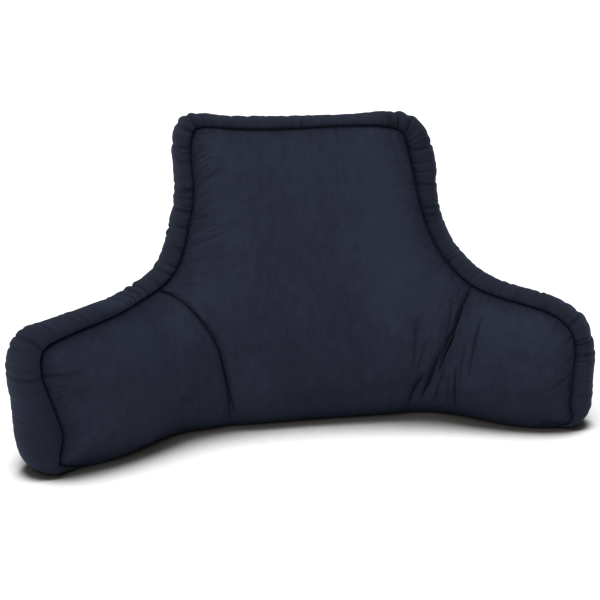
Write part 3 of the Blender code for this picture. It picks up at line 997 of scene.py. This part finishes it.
class Roll:
    """The stuffed roll, carried along the seam."""

    def __init__(self, plan: Plan, edge: Edge, size: RollSize) -> None:
        """Takes how the cloth stands, the edge to follow and the roll's own sizes."""
        self.plan, self.edge, self.size = plan, edge, size

    def section(self, stations: np.ndarray) -> tuple[np.ndarray, np.ndarray, np.ndarray]:
        """The section at each station.

        Args:
            stations: numbers of the edge's samples.

        Returns:
            Outward distance, depth and turn of each point. The section is a squarish ellipse whose
            ends meet the two seams: outward = h(i + |cos|^q), deep = middle + r sin, over the turn.
        """
        size = self.size
        width, deep = self.edge.roll[stations], self.edge.deep[stations]
        bulge = np.minimum(size.bulge, size.bulge_share * width)
        reach = 0.5 * deep + bulge
        past = np.arccos(0.5 * deep / reach)
        share = np.linspace(-1.0, 1.0, size.around)
        turn = (0.5 * math.pi + past)[:, None] * share[None]
        inner = (np.sin(past) ** size.square)[:, None]
        swing = np.sign(np.cos(turn)) * np.abs(np.cos(turn)) ** size.square
        outward = (width[:, None] / (1.0 + inner)) * (inner + swing)
        depth = (0.5 * deep - size.front_seam)[:, None] + reach[:, None] * np.sin(turn)
        return outward, depth, np.broadcast_to(share, turn.shape)

    def puckers(self, run: np.ndarray, share: np.ndarray, crinkled: np.ndarray) -> np.ndarray:
        """Depth of the short puckers at each point: valleys across the roll, deepest at the seams.

        Each valley is exp(-(x/w)^2) along the run, shifted a little round the section, and weighted
        towards the seam it starts from as ((1 + s)/2)^p or ((1 - s)/2)^p. Low ridges lie beside it.

        Args:
            run: distance of each section along the edge.
            share: place of each point round its section, from -1 at the front seam to 1.
            crinkled: how crinkled the roll is at each section.

        Returns:
            One depth for each point, as a share of the pucker depth.
        """
        size, random = self.size, np.random.default_rng(self.size.seed)
        middles = np.cumsum(random.uniform(*size.pucker_spacing, 600))
        middles = middles[middles < run[-1]]
        count = len(middles)
        widths = random.uniform(*size.pucker_width, count)
        strengths = random.uniform(0.2, 1.0, count) ** 2 * 1.3
        from_front = random.uniform(0.0, 1.0, count) < 0.65
        slants = random.normal(0.0, 0.004, count)
        strengths *= 0.25 + 0.75 * np.interp(middles, run, crinkled)
        pinched = np.array(size.pinched)
        edge_run = along(self.edge.outer)
        middles = np.append(middles, [edge_run[self.beside(row, self.edge.outer)] for row in size.pinched])
        strengths, widths = np.append(strengths, pinched[:, 2]), np.append(widths, pinched[:, 3])
        from_front = np.append(from_front, np.ones(len(pinched), bool))
        slants = np.append(slants, np.zeros(len(pinched)))
        total = np.zeros(share.shape)
        for middle, width, strength, front, slant in zip(middles, widths, strengths, from_front, slants):
            near = np.abs(run - middle) < 5.0 * width + 0.012
            s = share[near]
            side = (0.5 * (1.0 - s) if front else 0.5 * (1.0 + s)) ** 0.8
            offset = (run[near][:, None] - middle - slant * s) / (width * (1.0 + 0.6 * (1.0 - side)))
            ridge = 0.45 * np.exp(-((offset - 2.0) ** 2) / 2.5)
            total[near] += strength * side * (np.exp(-offset * offset) - ridge)
        return total

    @staticmethod
    def beside(row: tuple, line: np.ndarray) -> int:
        """Number of the point of a line nearest to the place that starts a row."""
        return int(np.argmin(np.linalg.norm(line - row[:2], axis=1)))

    def stations(self, travel: np.ndarray) -> np.ndarray:
        """Numbers of the edge's samples that carry a section.

        Args:
            travel: distance of each sample along the edge.

        Returns:
            Rising numbers, the spacing apart, with the last sample among them.
        """
        wanted = np.interp(np.arange(0.0, travel[-1], self.size.spacing), travel, np.arange(len(travel)))
        return np.unique(np.append(np.rint(wanted).astype(int), len(travel) - 1))

    def build(self) -> bpy.types.Object:
        """The roll as a closed object."""
        edge, size = self.edge, self.size
        travel = along(edge.outer)
        stations = self.stations(travel)
        outward, deep, share = self.section(stations)
        run = travel[stations]
        full = smoothstep(edge.roll[stations] / size.full_width)[:, None]
        lumps = size.long_lumps.line(run) + 0.6 * size.short_lumps.line(run)
        even = 1.0 + size.lump * lumps[:, None] * full
        marks = [self.beside(row, edge.outer[stations]) for row in size.crinkled]
        crinkled = np.interp(run, run[marks], [row[2] for row in size.crinkled])
        pucker = self.puckers(run, share, crinkled)
        middle = (0.5 * edge.deep[stations] - size.front_seam)[:, None]
        cut = size.pucker_depth * full * (1.0 - 0.15 * np.abs(share)) * pucker
        outward = np.maximum(outward * even - cut * np.clip(outward / 0.010, 0.0, 1.0), 0.0)
        deep = middle + (deep - middle) * (1.0 - np.clip(cut / size.pucker_sink, -0.2, 0.2))
        seam, away = edge.seam[stations][:, None], edge.outward[stations][:, None]
        flat = seam + away * (outward + size.gap)[..., None]
        points = self.plan.place(flat[..., 0], np.maximum(flat[..., 1], 0.0), deep)
        rows, columns = share.shape
        first = np.arange(rows - 1)[:, None] * columns + np.arange(columns)[None]
        after = np.arange(rows - 1)[:, None] * columns + (np.arange(columns) + 1)[None] % columns
        quads = np.stack([first, after, after + columns, first + columns], axis=-1).reshape(-1, 4)[:, ::-1]
        caps = [self.cap(0, columns), self.cap((rows - 1) * columns, columns)[:, ::-1]]
        around = share * 0.5 * np.maximum(edge.deep[stations], 0.02)[:, None]
        on_cloth = np.stack([np.repeat(run, columns), around.ravel(), np.full(around.size, 3.0)], axis=1)
        # Painted shade beside the roll's two seams and in its puckers' valleys.
        near_seam = np.exp(-((1.0 - np.abs(share)) / 0.10) ** 2)
        dark = np.clip(0.9 * near_seam + 0.55 * np.clip(pucker, 0.0, 1.0), 0.0, 1.0).ravel()
        strength = (0.55 + 0.45 * np.abs(share) ** 3) * crinkled[:, None]
        slanted = run[:, None] + 0.004 * share
        gathered = np.stack([slanted, np.abs(deep - middle), strength * full], axis=-1).reshape(-1, 3)
        joined = np.concatenate([quads, *caps])
        cloth = ClothMesh(points.reshape(-1, 3), joined, on_cloth, dark, gathered, np.zeros(len(dark)))
        return cloth.to_object("stuffed_edge")

    @staticmethod
    def cap(first: int, count: int) -> np.ndarray:
        """Quads that close one end, joining opposite points of its ring.

        Args:
            first: number of the ring's first point.
            count: how many points the ring has, an even number.

        Returns:
            Rows of four point numbers.
        """
        i = np.arange(count // 2 - 1)
        return np.stack([first + i, first + i + 1, first + count - 2 - i, first + count - 1 - i], axis=1)


# Finishes


class Shade:
    """One output in a shader graph, with arithmetic that adds Math nodes."""

    def __init__(self, bench: "Bench", socket: bpy.types.NodeSocket) -> None:
        """Wraps a socket of a node on this bench."""
        self.bench, self.socket = bench, socket

    def _math(self, operation: str, first: Number, second: Number) -> "Shade":
        """A Math node over two values."""
        return self.bench.node("ShaderNodeMath", {"operation": operation}, {0: first, 1: second})

    def __add__(self, other: Number) -> "Shade":
        """This plus the other."""
        return self._math("ADD", self, other)

    def __radd__(self, other: Number) -> "Shade":
        """The other plus this."""
        return self._math("ADD", other, self)

    def __sub__(self, other: Number) -> "Shade":
        """This less the other."""
        return self._math("SUBTRACT", self, other)

    def __rsub__(self, other: Number) -> "Shade":
        """The other less this."""
        return self._math("SUBTRACT", other, self)

    def __mul__(self, other: Number) -> "Shade":
        """This times the other."""
        return self._math("MULTIPLY", self, other)

    def __rmul__(self, other: Number) -> "Shade":
        """The other times this."""
        return self._math("MULTIPLY", other, self)

    def __truediv__(self, other: Number) -> "Shade":
        """This over the other."""
        return self._math("DIVIDE", self, other)

    def __rtruediv__(self, other: Number) -> "Shade":
        """The other over this."""
        return self._math("DIVIDE", other, self)


class Bench:
    """A material's node tree, and the one way nodes are added to it."""

    def __init__(self, name: str) -> None:
        """Makes a material of this name, with a Principled surface."""
        self.material = bpy.data.materials.new(name)
        self.material.use_nodes = True
        self.tree = self.material.node_tree
        self.surface = self.tree.nodes["Principled BSDF"]

    def node(self, kind: str, settings: dict, values: dict, output: int | str = 0) -> Shade:
        """Adds a node.

        Args:
            kind: Blender's node type.
            settings: properties set on the node.
            values: numbers, colours or outputs for its inputs, by name or number.
            output: the output wanted.

        Returns:
            That output.
        """
        made = self.tree.nodes.new(kind)
        for key, value in settings.items():
            setattr(made, key, value)
        for key, value in values.items():
            self.join(value, made.inputs[key])
        return Shade(self, made.outputs[output])

    def join(self, value: object, socket: bpy.types.NodeSocket) -> None:
        """Links an output to a socket, or sets the socket's own value."""
        if isinstance(value, Shade):
            self.tree.links.new(value.socket, socket)
        else:
            socket.default_value = value


@dataclass(frozen=True)
class SuededCloth:
    """Navy sueded cloth: a short raised nap over a fine weave, with painted light and painted shade in its
    colour.
    """

    name: str
    colour: tuple[float, float, float]
    pale_nap_and_painted_light: tuple[float, float, float]  # paler colour that the random nap tone and the painted light move towards
    shaded: tuple[float, float, float]  # in seams and folds
    streak: float = 0.50  # how strongly the brushed streaks show
    roughness: float = 0.88
    sheen: float = 0.07
    sheen_roughness: float = 0.45
    sheen_tint: tuple[float, float, float] = (0.40, 0.52, 0.90)
    specular: float = 0.05
    weave: float = 0.00050  # depth of the weave in the bump, in metres
    gathers: float = 0.0012  # depth of the finest gathers in the bump, in metres
    wander: float = 0.006  # how far the finest gathers wander sideways, in metres
    gather_valley_shade: float = 2.6  # how dark the painted shade in the finest gathers' valleys is

    def make(self) -> bpy.types.Material:
        """The material."""
        bench = Bench(self.name)
        place = bench.node("ShaderNodeAttribute", {"attribute_name": PATTERN}, {}, "Vector")
        painted_shade = bench.node("ShaderNodeAttribute", {"attribute_name": PAINTED_SHADE_ATTRIBUTE}, {}, "Fac")
        gathered = bench.node("ShaderNodeAttribute", {"attribute_name": GATHERED}, {}, "Vector")
        strength = bench.node("ShaderNodeSeparateXYZ", {}, {0: gathered}, "Z")

        def noise(scale: tuple, detail: float, rough: float = 0.55, of: Shade = place) -> Shade:
            """Noise over the cloth.

            Args:
                scale: cells to the metre, along each way of the cloth.
                detail: how many finer layers it has.
                rough: strength of each layer against the one before.
                of: the place it is read at.

            Returns:
                Values around one half.
            """
            scaled = bench.node("ShaderNodeMapping", {}, {"Vector": of, "Scale": scale})
            values = {"Vector": scaled, "Scale": 1.0, "Detail": detail, "Roughness": rough}
            return bench.node("ShaderNodeTexNoise", {}, values)

        def between(share: Shade, low: Shade | tuple, high: Shade | tuple) -> Shade:
            """The colour at a share of the way from one to the other."""
            return bench.node("ShaderNodeMix", {"data_type": "RGBA"}, {0: share, 6: low, 7: high}, 2)

        warp = noise((620.0, 46.0, 1.0), 3.0)
        weft = noise((60.0, 560.0, 1.0), 2.0)
        nap = noise((900.0, 900.0, 1.0), 2.0)
        mottled = noise((80.0, 45.0, 1.0), 2.0)
        nap_and_painted_light = noise((16.0, 9.0, 1.0), 4.0, 0.6)
        broad = noise((5.0, 4.0, 1.0), 2.0)
        fine = self.streak * (2.2 * (warp - 0.5) + 0.8 * (weft - 0.5) + 2.0 * (mottled - 0.5))
        # Painted light and shade: the lift read here, with the random nap tone, moves the colour towards the
        # paler one.
        painted_light_lift = bench.node("ShaderNodeAttribute", {"attribute_name": PAINTED_LIGHT_ATTRIBUTE}, {}, "Fac")
        tone = 0.5 + fine + 1.1 * (nap_and_painted_light - 0.5) + 0.7 * (broad - 0.5) + painted_light_lift
        lit = between(tone, (*self.colour, 1.0), (*self.pale_nap_and_painted_light, 1.0))
        bent = noise((18.0, 45.0, 0.0), 2.0, 0.5, gathered)
        shift = bench.node("ShaderNodeCombineXYZ", {}, {0: self.wander * bent})
        drawn = bench.node("ShaderNodeVectorMath", {"operation": "ADD"}, {0: gathered, 1: shift})
        pulled = noise((150.0, 16.0, 0.0), 1.0, 0.5, drawn)
        pulled += 0.45 * noise((380.0, 60.0, 0.0), 1.0, 0.5, drawn)
        # Painted shade: the colour darkens towards the shaded one in the finest gathers' valleys, in folds
        # and puckers and beside the seams.
        clamped = {"operation": "MULTIPLY", "use_clamp": True}
        valley = bench.node("ShaderNodeMath", clamped, {0: 0.72 - pulled, 1: strength * self.gather_valley_shade})
        colour = between(painted_shade * 0.85 + valley, lit, (*self.shaded, 1.0))
        height = 0.5 * warp + 0.35 * weft + 0.5 * nap
        drawn_in = {"Height": pulled * strength, "Distance": self.gathers, "Strength": 1.0}
        folds = bench.node("ShaderNodeBump", {}, drawn_in)
        woven = {"Height": height, "Distance": self.weave, "Strength": 0.6, "Normal": folds}
        bump = bench.node("ShaderNodeBump", {}, woven)
        bench.join(colour, bench.surface.inputs["Base Color"])
        bench.join(self.roughness - 0.08 * (nap_and_painted_light - 0.5), bench.surface.inputs["Roughness"])
        bench.join(bump, bench.surface.inputs["Normal"])
        bench.join(self.sheen, bench.surface.inputs["Sheen Weight"])
        bench.join(self.sheen_roughness, bench.surface.inputs["Sheen Roughness"])
        bench.join((*self.sheen_tint, 1.0), bench.surface.inputs["Sheen Tint"])
        bench.join(self.specular, bench.surface.inputs["Specular IOR Level"])
        return bench.material


# The studio


@dataclass(frozen=True)
class Studio:
    """Pale floor with a painted contact shadow, soft lights and the camera."""

    azimuth: float = -6.0  # degrees round from straight ahead
    elevation: float = 16.0  # degrees above the floor
    distance: float = 1.85  # from the camera to its target
    lens: float = 78.0  # focal length in millimetres
    target: tuple[float, float, float] = (-0.0190, -0.0696, 0.215)
    shadow_reach: float = 0.26  # how far from the cushion the painted shadow on the floor reaches
    shaded_at: float = 0.46  # share of open sky at which the floor is darkest
    lit_at: float = 0.74  # share of open sky from which it is pale
    shaded: tuple[float, float, float] = (0.05, 0.048, 0.045)  # the floor's colour where it is darkest
    pale: tuple[float, float, float] = (0.95, 0.95, 0.95)
    floor_half: float = 80.0  # half the floor's side
    surroundings: float = 0.45  # strength of the light from all round
    lamps: tuple = (  # name, direction from the cushion, spread in degrees and strength
        ("overhead", (-0.3, -0.5, 2.0), 80.0, 2.2),
        ("key", (-1.0, -2.0, 1.9), 50.0, 1.3),
    )

    def floor(self) -> bpy.types.Object:
        """A wide pale floor, with a contact shadow painted into its colour where ambient occlusion finds the
        cushion near.
        """
        half = self.floor_half
        corners = [(-half, -half, 0.0), (half, -half, 0.0), (half, half, 0.0), (-half, half, 0.0)]
        mesh = bpy.data.meshes.new("studio_floor")
        mesh.from_pydata(corners, [], [(0, 1, 2, 3)])
        bench = Bench("floor_with_painted_shadow")
        # Painted shadow: the floor's colour darkens from pale to shaded where little open sky is seen near
        # the cushion.
        reach = {"Distance": self.shadow_reach}
        open_share = bench.node("ShaderNodeAmbientOcclusion", {"samples": 24}, reach, "AO")
        limits = {"Value": open_share, "From Min": self.shaded_at, "From Max": self.lit_at}
        kept = bench.node("ShaderNodeMapRange", {"interpolation_type": "SMOOTHSTEP"}, limits)
        colours = {0: kept, 6: (*self.shaded, 1.0), 7: (*self.pale, 1.0)}
        colour = bench.node("ShaderNodeMix", {"data_type": "RGBA"}, colours, 2)
        bench.join(colour, bench.surface.inputs["Base Color"])
        bench.join(0.9, bench.surface.inputs["Roughness"])
        bench.join(0.0, bench.surface.inputs["Specular IOR Level"])
        mesh.materials.append(bench.material)
        made = bpy.data.objects.new("studio_floor", mesh)
        bpy.context.scene.collection.objects.link(made)
        return made

    def light(self, name: str, toward: tuple, spread_degrees: float, power: float) -> None:
        """A broad soft light from far off.

        Args:
            name: the light's name.
            toward: direction from the cushion to the light.
            spread_degrees: how wide it looks from the cushion.
            power: its strength.
        """
        data = bpy.data.lights.new(name, "SUN")
        data.angle, data.energy = math.radians(spread_degrees), power
        lamp = bpy.data.objects.new(name, data)
        bpy.context.scene.collection.objects.link(lamp)
        self.aim(lamp, np.array(toward, float), np.zeros(3))

    @staticmethod
    def aim(thing: bpy.types.Object, place: np.ndarray, target: np.ndarray) -> None:
        """Puts a light or camera at a place, facing a target, with its top upward.

        Args:
            thing: the light or the camera.
            place: where it goes.
            target: the point it faces.
        """
        back = (place - target) / np.linalg.norm(place - target)
        right = np.cross((0.0, 0.0, 1.0), back)
        right /= np.linalg.norm(right)
        turned = np.eye(4)
        turned[:3] = np.stack([right, np.cross(back, right), back, place], axis=1)
        thing.matrix_world = Matrix(turned.tolist())

    def camera(self) -> None:
        """The camera at the photograph's angle."""
        data = bpy.data.cameras.new("camera")
        data.sensor_fit, data.sensor_width, data.lens = "HORIZONTAL", 36.0, self.lens
        data.clip_end = 300.0
        camera = bpy.data.objects.new("camera", data)
        bpy.context.scene.collection.objects.link(camera)
        around, rise = math.radians(self.azimuth), math.radians(self.elevation)
        level = math.cos(rise)
        away = np.array([math.sin(around) * level, -math.cos(around) * level, math.sin(rise)])
        self.aim(camera, np.array(self.target) + away * self.distance, np.array(self.target))
        bpy.context.scene.camera = camera

    def build(self) -> None:
        """Adds everything, and sets the plain white surroundings."""
        self.floor()
        for lamp in self.lamps:
            self.light(*lamp)
        world = bpy.data.worlds.new("white_surroundings")
        world.use_nodes = True
        background = world.node_tree.nodes["Background"]
        background.inputs["Color"].default_value = (1.0, 1.0, 1.0, 1.0)
        background.inputs["Strength"].default_value = self.surroundings
        bpy.context.scene.world = world
        bpy.context.scene.view_settings.view_transform = "Standard"
        self.camera()


# Measures of this cushion

# Each row: across, and the plan line's direction there in degrees.
HEADINGS = (
    (-0.50, 28.0),
    (-0.42, 41.0),
    (-0.36, 47.0),
    (-0.30, 49.0),
    (-0.25, 46.0),
    (-0.21, 31.0),
    (-0.17, 14.0),
    (-0.10, 10.0),
    (-0.03, 7.0),
    (0.05, 5.0),
    (0.16, 4.0),
    (0.21, -4.0),
    (0.25, -18.0),
    (0.29, -36.0),
    (0.34, -43.0),
    (0.38, -36.0),
    (0.42, -20.0),
    (0.50, -12.0),
)

# Each row: across, up, width of the roll, depth of the roll.
EDGE_ROWS = (
    (-0.392, 0.000, 0.002, 0.060),
    (-0.444, 0.003, 0.024, 0.060),
    (-0.467, 0.037, 0.045, 0.060),
    (-0.473, 0.100, 0.037, 0.058),
    (-0.480, 0.156, 0.030, 0.052),
    (-0.464, 0.201, 0.025, 0.044),
    (-0.405, 0.216, 0.018, 0.038),
    (-0.320, 0.218, 0.016, 0.034),
    (-0.245, 0.212, 0.013, 0.034),
    (-0.194, 0.228, 0.016, 0.038),
    (-0.168, 0.285, 0.020, 0.044),
    (-0.153, 0.350, 0.019, 0.046),
    (-0.151, 0.415, 0.019, 0.046),
    (-0.136, 0.447, 0.0185, 0.046),
    (-0.085, 0.450, 0.016, 0.046),
    (0.010, 0.448, 0.0155, 0.046),
    (0.125, 0.452, 0.0155, 0.046),
    (0.195, 0.447, 0.031, 0.046),
    (0.220, 0.402, 0.038, 0.046),
    (0.225, 0.340, 0.030, 0.044),
    (0.243, 0.275, 0.024, 0.042),
    (0.284, 0.228, 0.017, 0.038),
    (0.370, 0.206, 0.015, 0.038),
    (0.434, 0.190, 0.019, 0.042),
    (0.471, 0.152, 0.026, 0.048),
    (0.479, 0.075, 0.032, 0.050),
    (0.472, 0.016, 0.027, 0.050),
    (0.450, 0.000, 0.011, 0.050),
    (0.428, 0.000, 0.002, 0.050),
)

LEFT_FOLD = Fold(
    line=((-0.178, 0.196), (-0.150, 0.171), (-0.129, 0.137), (-0.117, 0.090), (-0.111, 0.040), (-0.109, 0.0)),
    depths=(0.003, 0.007, 0.011, 0.015, 0.012, 0.004),
    width=0.013,
    sharp=0.40,
)
RIGHT_FOLD = Fold(
    line=((0.283, 0.175), (0.266, 0.126), (0.238, 0.078), (0.205, 0.036), (0.176, 0.0)),
    depths=(0.006, 0.010, 0.012, 0.010, 0.003),
    width=0.015,
    sharp=0.25,
)


def crease(line: tuple, depth: float, width: float, darkness: float, lap: float, bold: float) -> Fold:
    """A narrow crease that fades at both ends.

    Args:
        line: (across, up) of the places it passes.
        depth, width: its greatest depth and half its width.
        darkness: how dark the painted shade at its bottom is.
        lap: height of the cloth that laps over it.
        bold: width of the painted shade at its bottom against the usual.

    Returns:
        The fold.
    """
    depths = tuple(1.35 * share * depth for share in (0.15, 0.8, 1.0, 0.75, 0.1))
    return Fold(line, depths, 1.15 * width, lap, 0.75, 1.9, 0.0016 * bold, min(1.0, 1.25 * darkness))


# The right arm's deepest crease, as (across, up) places.
RIGHT_CREASE = (
    (0.296, 0.212),
    (0.289, 0.188),
    (0.283, 0.168),
    (0.266, 0.126),
    (0.246, 0.092),
    (0.236, 0.070),
)

# Each row: depth, half width, darkness of the painted shade, lap and boldness of a crease, then the places it
# passes.
CREASES = (
    (0.0030, 0.0030, 0.7, 0.0, 1.0, ((-0.118, 0.100), (-0.111, 0.068), (-0.106, 0.040), (-0.104, 0.022))),
    (0.0100, 0.0042, 1.0, 0.001, 1.5, RIGHT_CREASE),
    (0.0035, 0.0030, 0.6, 0.0, 1.0, ((0.285, 0.196), (0.274, 0.160), (0.262, 0.134), (0.248, 0.108))),
    (0.0035, 0.0026, 0.7, 0.0, 1.0, ((0.262, 0.138), (0.244, 0.108), (0.236, 0.088))),
    (0.0065, 0.0036, 1.0, 0.0, 1.3, ((0.236, 0.108), (0.224, 0.080), (0.212, 0.058), (0.204, 0.036))),
    (0.0040, 0.0028, 0.8, 0.0, 1.0, ((0.226, 0.076), (0.212, 0.050), (0.199, 0.028))),
    (0.0060, 0.0036, 1.0, 0.0, 1.0, ((0.202, 0.070), (0.186, 0.042), (0.172, 0.016))),
    (0.0025, 0.0034, 0.5, 0.0, 1.0, ((0.250, 0.078), (0.238, 0.052), (0.226, 0.022))),
    (0.0045, 0.0034, 0.8, 0.0, 1.0, ((0.290, 0.086), (0.289, 0.055), (0.287, 0.018))),
    (0.0020, 0.0034, 0.4, 0.0, 1.0, ((0.272, 0.070), (0.266, 0.045), (0.262, 0.022))),
    (0.0020, 0.0032, 0.4, 0.0, 1.0, ((0.306, 0.120), (0.302, 0.090), (0.300, 0.060))),
    (0.0035, 0.0036, 0.6, 0.0, 1.0, ((0.328, 0.166), (0.322, 0.118), (0.318, 0.074))),
    (0.0035, 0.0045, 0.5, 0.0, 1.0, ((0.186, 0.158), (0.182, 0.112), (0.179, 0.078))),
    (0.0022, 0.0034, 0.4, 0.0, 1.0, ((0.202, 0.120), (0.193, 0.090), (0.188, 0.064))),
    (0.0028, 0.0040, 0.4, 0.0, 1.0, ((0.259, 0.184), (0.252, 0.145), (0.243, 0.118))),
)

# The lapped fold at the left arm, and the small creases.
SMALL_FOLDS = (
    Fold(
        line=(
            (-0.214, 0.210),
            (-0.200, 0.207),
            (-0.182, 0.199),
            (-0.147, 0.163),
            (-0.123, 0.117),
            (-0.113, 0.057),
            (-0.110, 0.012),
        ),
        depths=(0.004, 0.006, 0.007, 0.008, 0.010, 0.009, 0.001),
        width=0.0036,
        lap=0.002,
        sharp=0.8,
        shadow=0.0015,
        darkness=1.0,
    ),
    *(crease(line, *sizes) for *sizes, line in CREASES),
)

# Painted light and painted shade on the face, lighter higher up and darker low down. Each row: across, up,
# half width, half height and lift.
PAINTED_LIGHT_PLACES = (
    (0.148, 0.290, 0.040, 0.140, 0.75),
    (-0.105, 0.300, 0.035, 0.130, 0.30),
    (-0.300, 0.160, 0.090, 0.030, 0.55),
    (0.370, 0.160, 0.070, 0.028, 0.55),
    (0.010, 0.080, 0.150, 0.080, -0.40),
    (0.370, 0.045, 0.090, 0.045, -0.30),
    (-0.160, 0.080, 0.050, 0.070, -0.35),
)

# Each row: across, up and how crinkled the roll is there, from the left foot to the right.
CRINKLED = (
    (-0.392, 0.000, 0.15),
    (-0.470, 0.060, 0.12),
    (-0.478, 0.130, 0.25),
    (-0.470, 0.188, 0.55),
    (-0.400, 0.213, 0.40),
    (-0.320, 0.215, 0.45),
    (-0.225, 0.215, 0.85),
    (-0.170, 0.285, 0.70),
    (-0.153, 0.380, 0.70),
    (-0.140, 0.440, 1.00),
    (-0.060, 0.450, 0.45),
    (0.090, 0.450, 0.40),
    (0.175, 0.448, 1.00),
    (0.222, 0.370, 0.62),
    (0.255, 0.255, 0.60),
    (0.330, 0.214, 0.70),
    (0.420, 0.195, 0.60),
    (0.470, 0.155, 0.80),
    (0.479, 0.075, 0.30),
    (0.428, 0.000, 0.20),
)

# Each row: across, up, strength and width of the roll's deepest puckers.
PINCHED = (
    (-0.476, 0.150, 0.9, 0.0030),
    (-0.458, 0.200, 1.0, 0.0030),
    (-0.235, 0.214, 1.3, 0.0026),
    (-0.222, 0.217, 1.0, 0.0020),
    (-0.160, 0.318, 1.2, 0.0024),
    (-0.154, 0.348, 1.0, 0.0020),
    (-0.151, 0.408, 1.3, 0.0026),
    (-0.142, 0.438, 1.5, 0.0030),
    (-0.128, 0.449, 1.3, 0.0026),
    (0.168, 0.449, 1.2, 0.0026),
    (0.186, 0.449, 1.5, 0.0030),
    (0.218, 0.410, 1.0, 0.0024),
    (0.224, 0.352, 1.2, 0.0024),
    (0.229, 0.320, 1.0, 0.0020),
    (0.452, 0.178, 1.4, 0.0030),
    (0.473, 0.142, 1.5, 0.0030),
)

# Each row: across, up, depth, reach and slant of the gathers there, from the left foot to the right.
GATHER_ZONES = (
    (-0.392, 0.000, 0.0008, 0.020, 0.0),
    (-0.436, 0.090, 0.0011, 0.024, 0.0),
    (-0.446, 0.135, 0.0024, 0.036, 0.0),
    (-0.449, 0.165, 0.0034, 0.045, -0.1),
    (-0.445, 0.190, 0.0024, 0.030, 0.1),
    (-0.380, 0.198, 0.0010, 0.018, 0.1),
    (-0.250, 0.199, 0.0009, 0.018, 0.3),
    (-0.190, 0.212, 0.0018, 0.035, 0.8),
    (-0.150, 0.280, 0.0020, 0.045, 1.4),
    (-0.134, 0.360, 0.0018, 0.038, 1.5),
    (-0.132, 0.420, 0.0020, 0.036, 1.0),
    (-0.100, 0.434, 0.0010, 0.018, 0.2),
    (0.100, 0.436, 0.0008, 0.018, 0.0),
    (0.165, 0.430, 0.0016, 0.022, 0.0),
    (0.190, 0.350, 0.0012, 0.022, -0.4),
    (0.230, 0.255, 0.0013, 0.026, -0.3),
    (0.290, 0.212, 0.0014, 0.030, 0.2),
    (0.400, 0.186, 0.0011, 0.018, 0.3),
    (0.441, 0.155, 0.0036, 0.026, 1.2),
    (0.447, 0.100, 0.0038, 0.024, 1.3),
    (0.446, 0.040, 0.0034, 0.024, 1.2),
    (0.428, 0.000, 0.0030, 0.024, 0.6),
)

FACE_CLOTH = SuededCloth(
    name="face_cloth",
    colour=(0.0101, 0.0120, 0.0205),
    pale_nap_and_painted_light=(0.0167, 0.0195, 0.0318),
    shaded=(0.0014, 0.0017, 0.0030),
    gathers=0.0034,
)
# The face's cloth with darker colours: painted shade on the roll.
SHADED_ROLL_CLOTH = SuededCloth(
    name="roll_cloth",
    colour=(0.0080, 0.0095, 0.0160),
    pale_nap_and_painted_light=(0.0130, 0.0152, 0.0248),
    shaded=(0.0008, 0.0010, 0.0018),
    streak=0.40,
    gathers=0.0060,
    wander=0.022,
    gather_valley_shade=3.3,
)


def main() -> None:
    """Builds the dressed cushion and its studio."""
    logging.basicConfig(level=logging.INFO, format="%(name)s: %(message)s")
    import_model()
    plan, edge = Plan(PlanSize(HEADINGS)), Edge(EDGE_ROWS)
    folds, fine = (LEFT_FOLD, RIGHT_FOLD), Fineness(low=91, high=91, arm=95, back=161)
    filling, gathers = Filling(), Gathers(GATHER_ZONES)
    every_fold = (*folds, *SMALL_FOLDS)

    def body(fineness: Fineness) -> Body:
        """The body at a given fineness."""
        pattern = Pattern(edge, Marks(), folds, fineness)
        return Body(plan, pattern, filling, every_fold, gathers, PaintedLightPatches(PAINTED_LIGHT_PLACES))

    moved = Inflation().run(body(fine.halved()))
    cloth, _ = body(fine).build(detail=True, moved=moved)
    cover = cloth.to_object("filled_body")
    roll = Roll(plan, edge, RollSize(crinkled=CRINKLED, pinched=PINCHED)).build()
    # Each row: the piece, the node it replaces, its finish and how full of filling it is.
    dressed = ((cover, "cushion_body", FACE_CLOTH, 0.75), (roll, "edge_roll", SHADED_ROLL_CLOTH, 0.8))
    for piece, node, finish, fill in dressed:
        piece.data.materials.append(finish.make())
        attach(piece, "root")
        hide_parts(node)
        LOG.info("%s has %d faces", piece.name, len(piece.data.polygons))
    Studio().build()


if __name__ == "__main__":
    main()
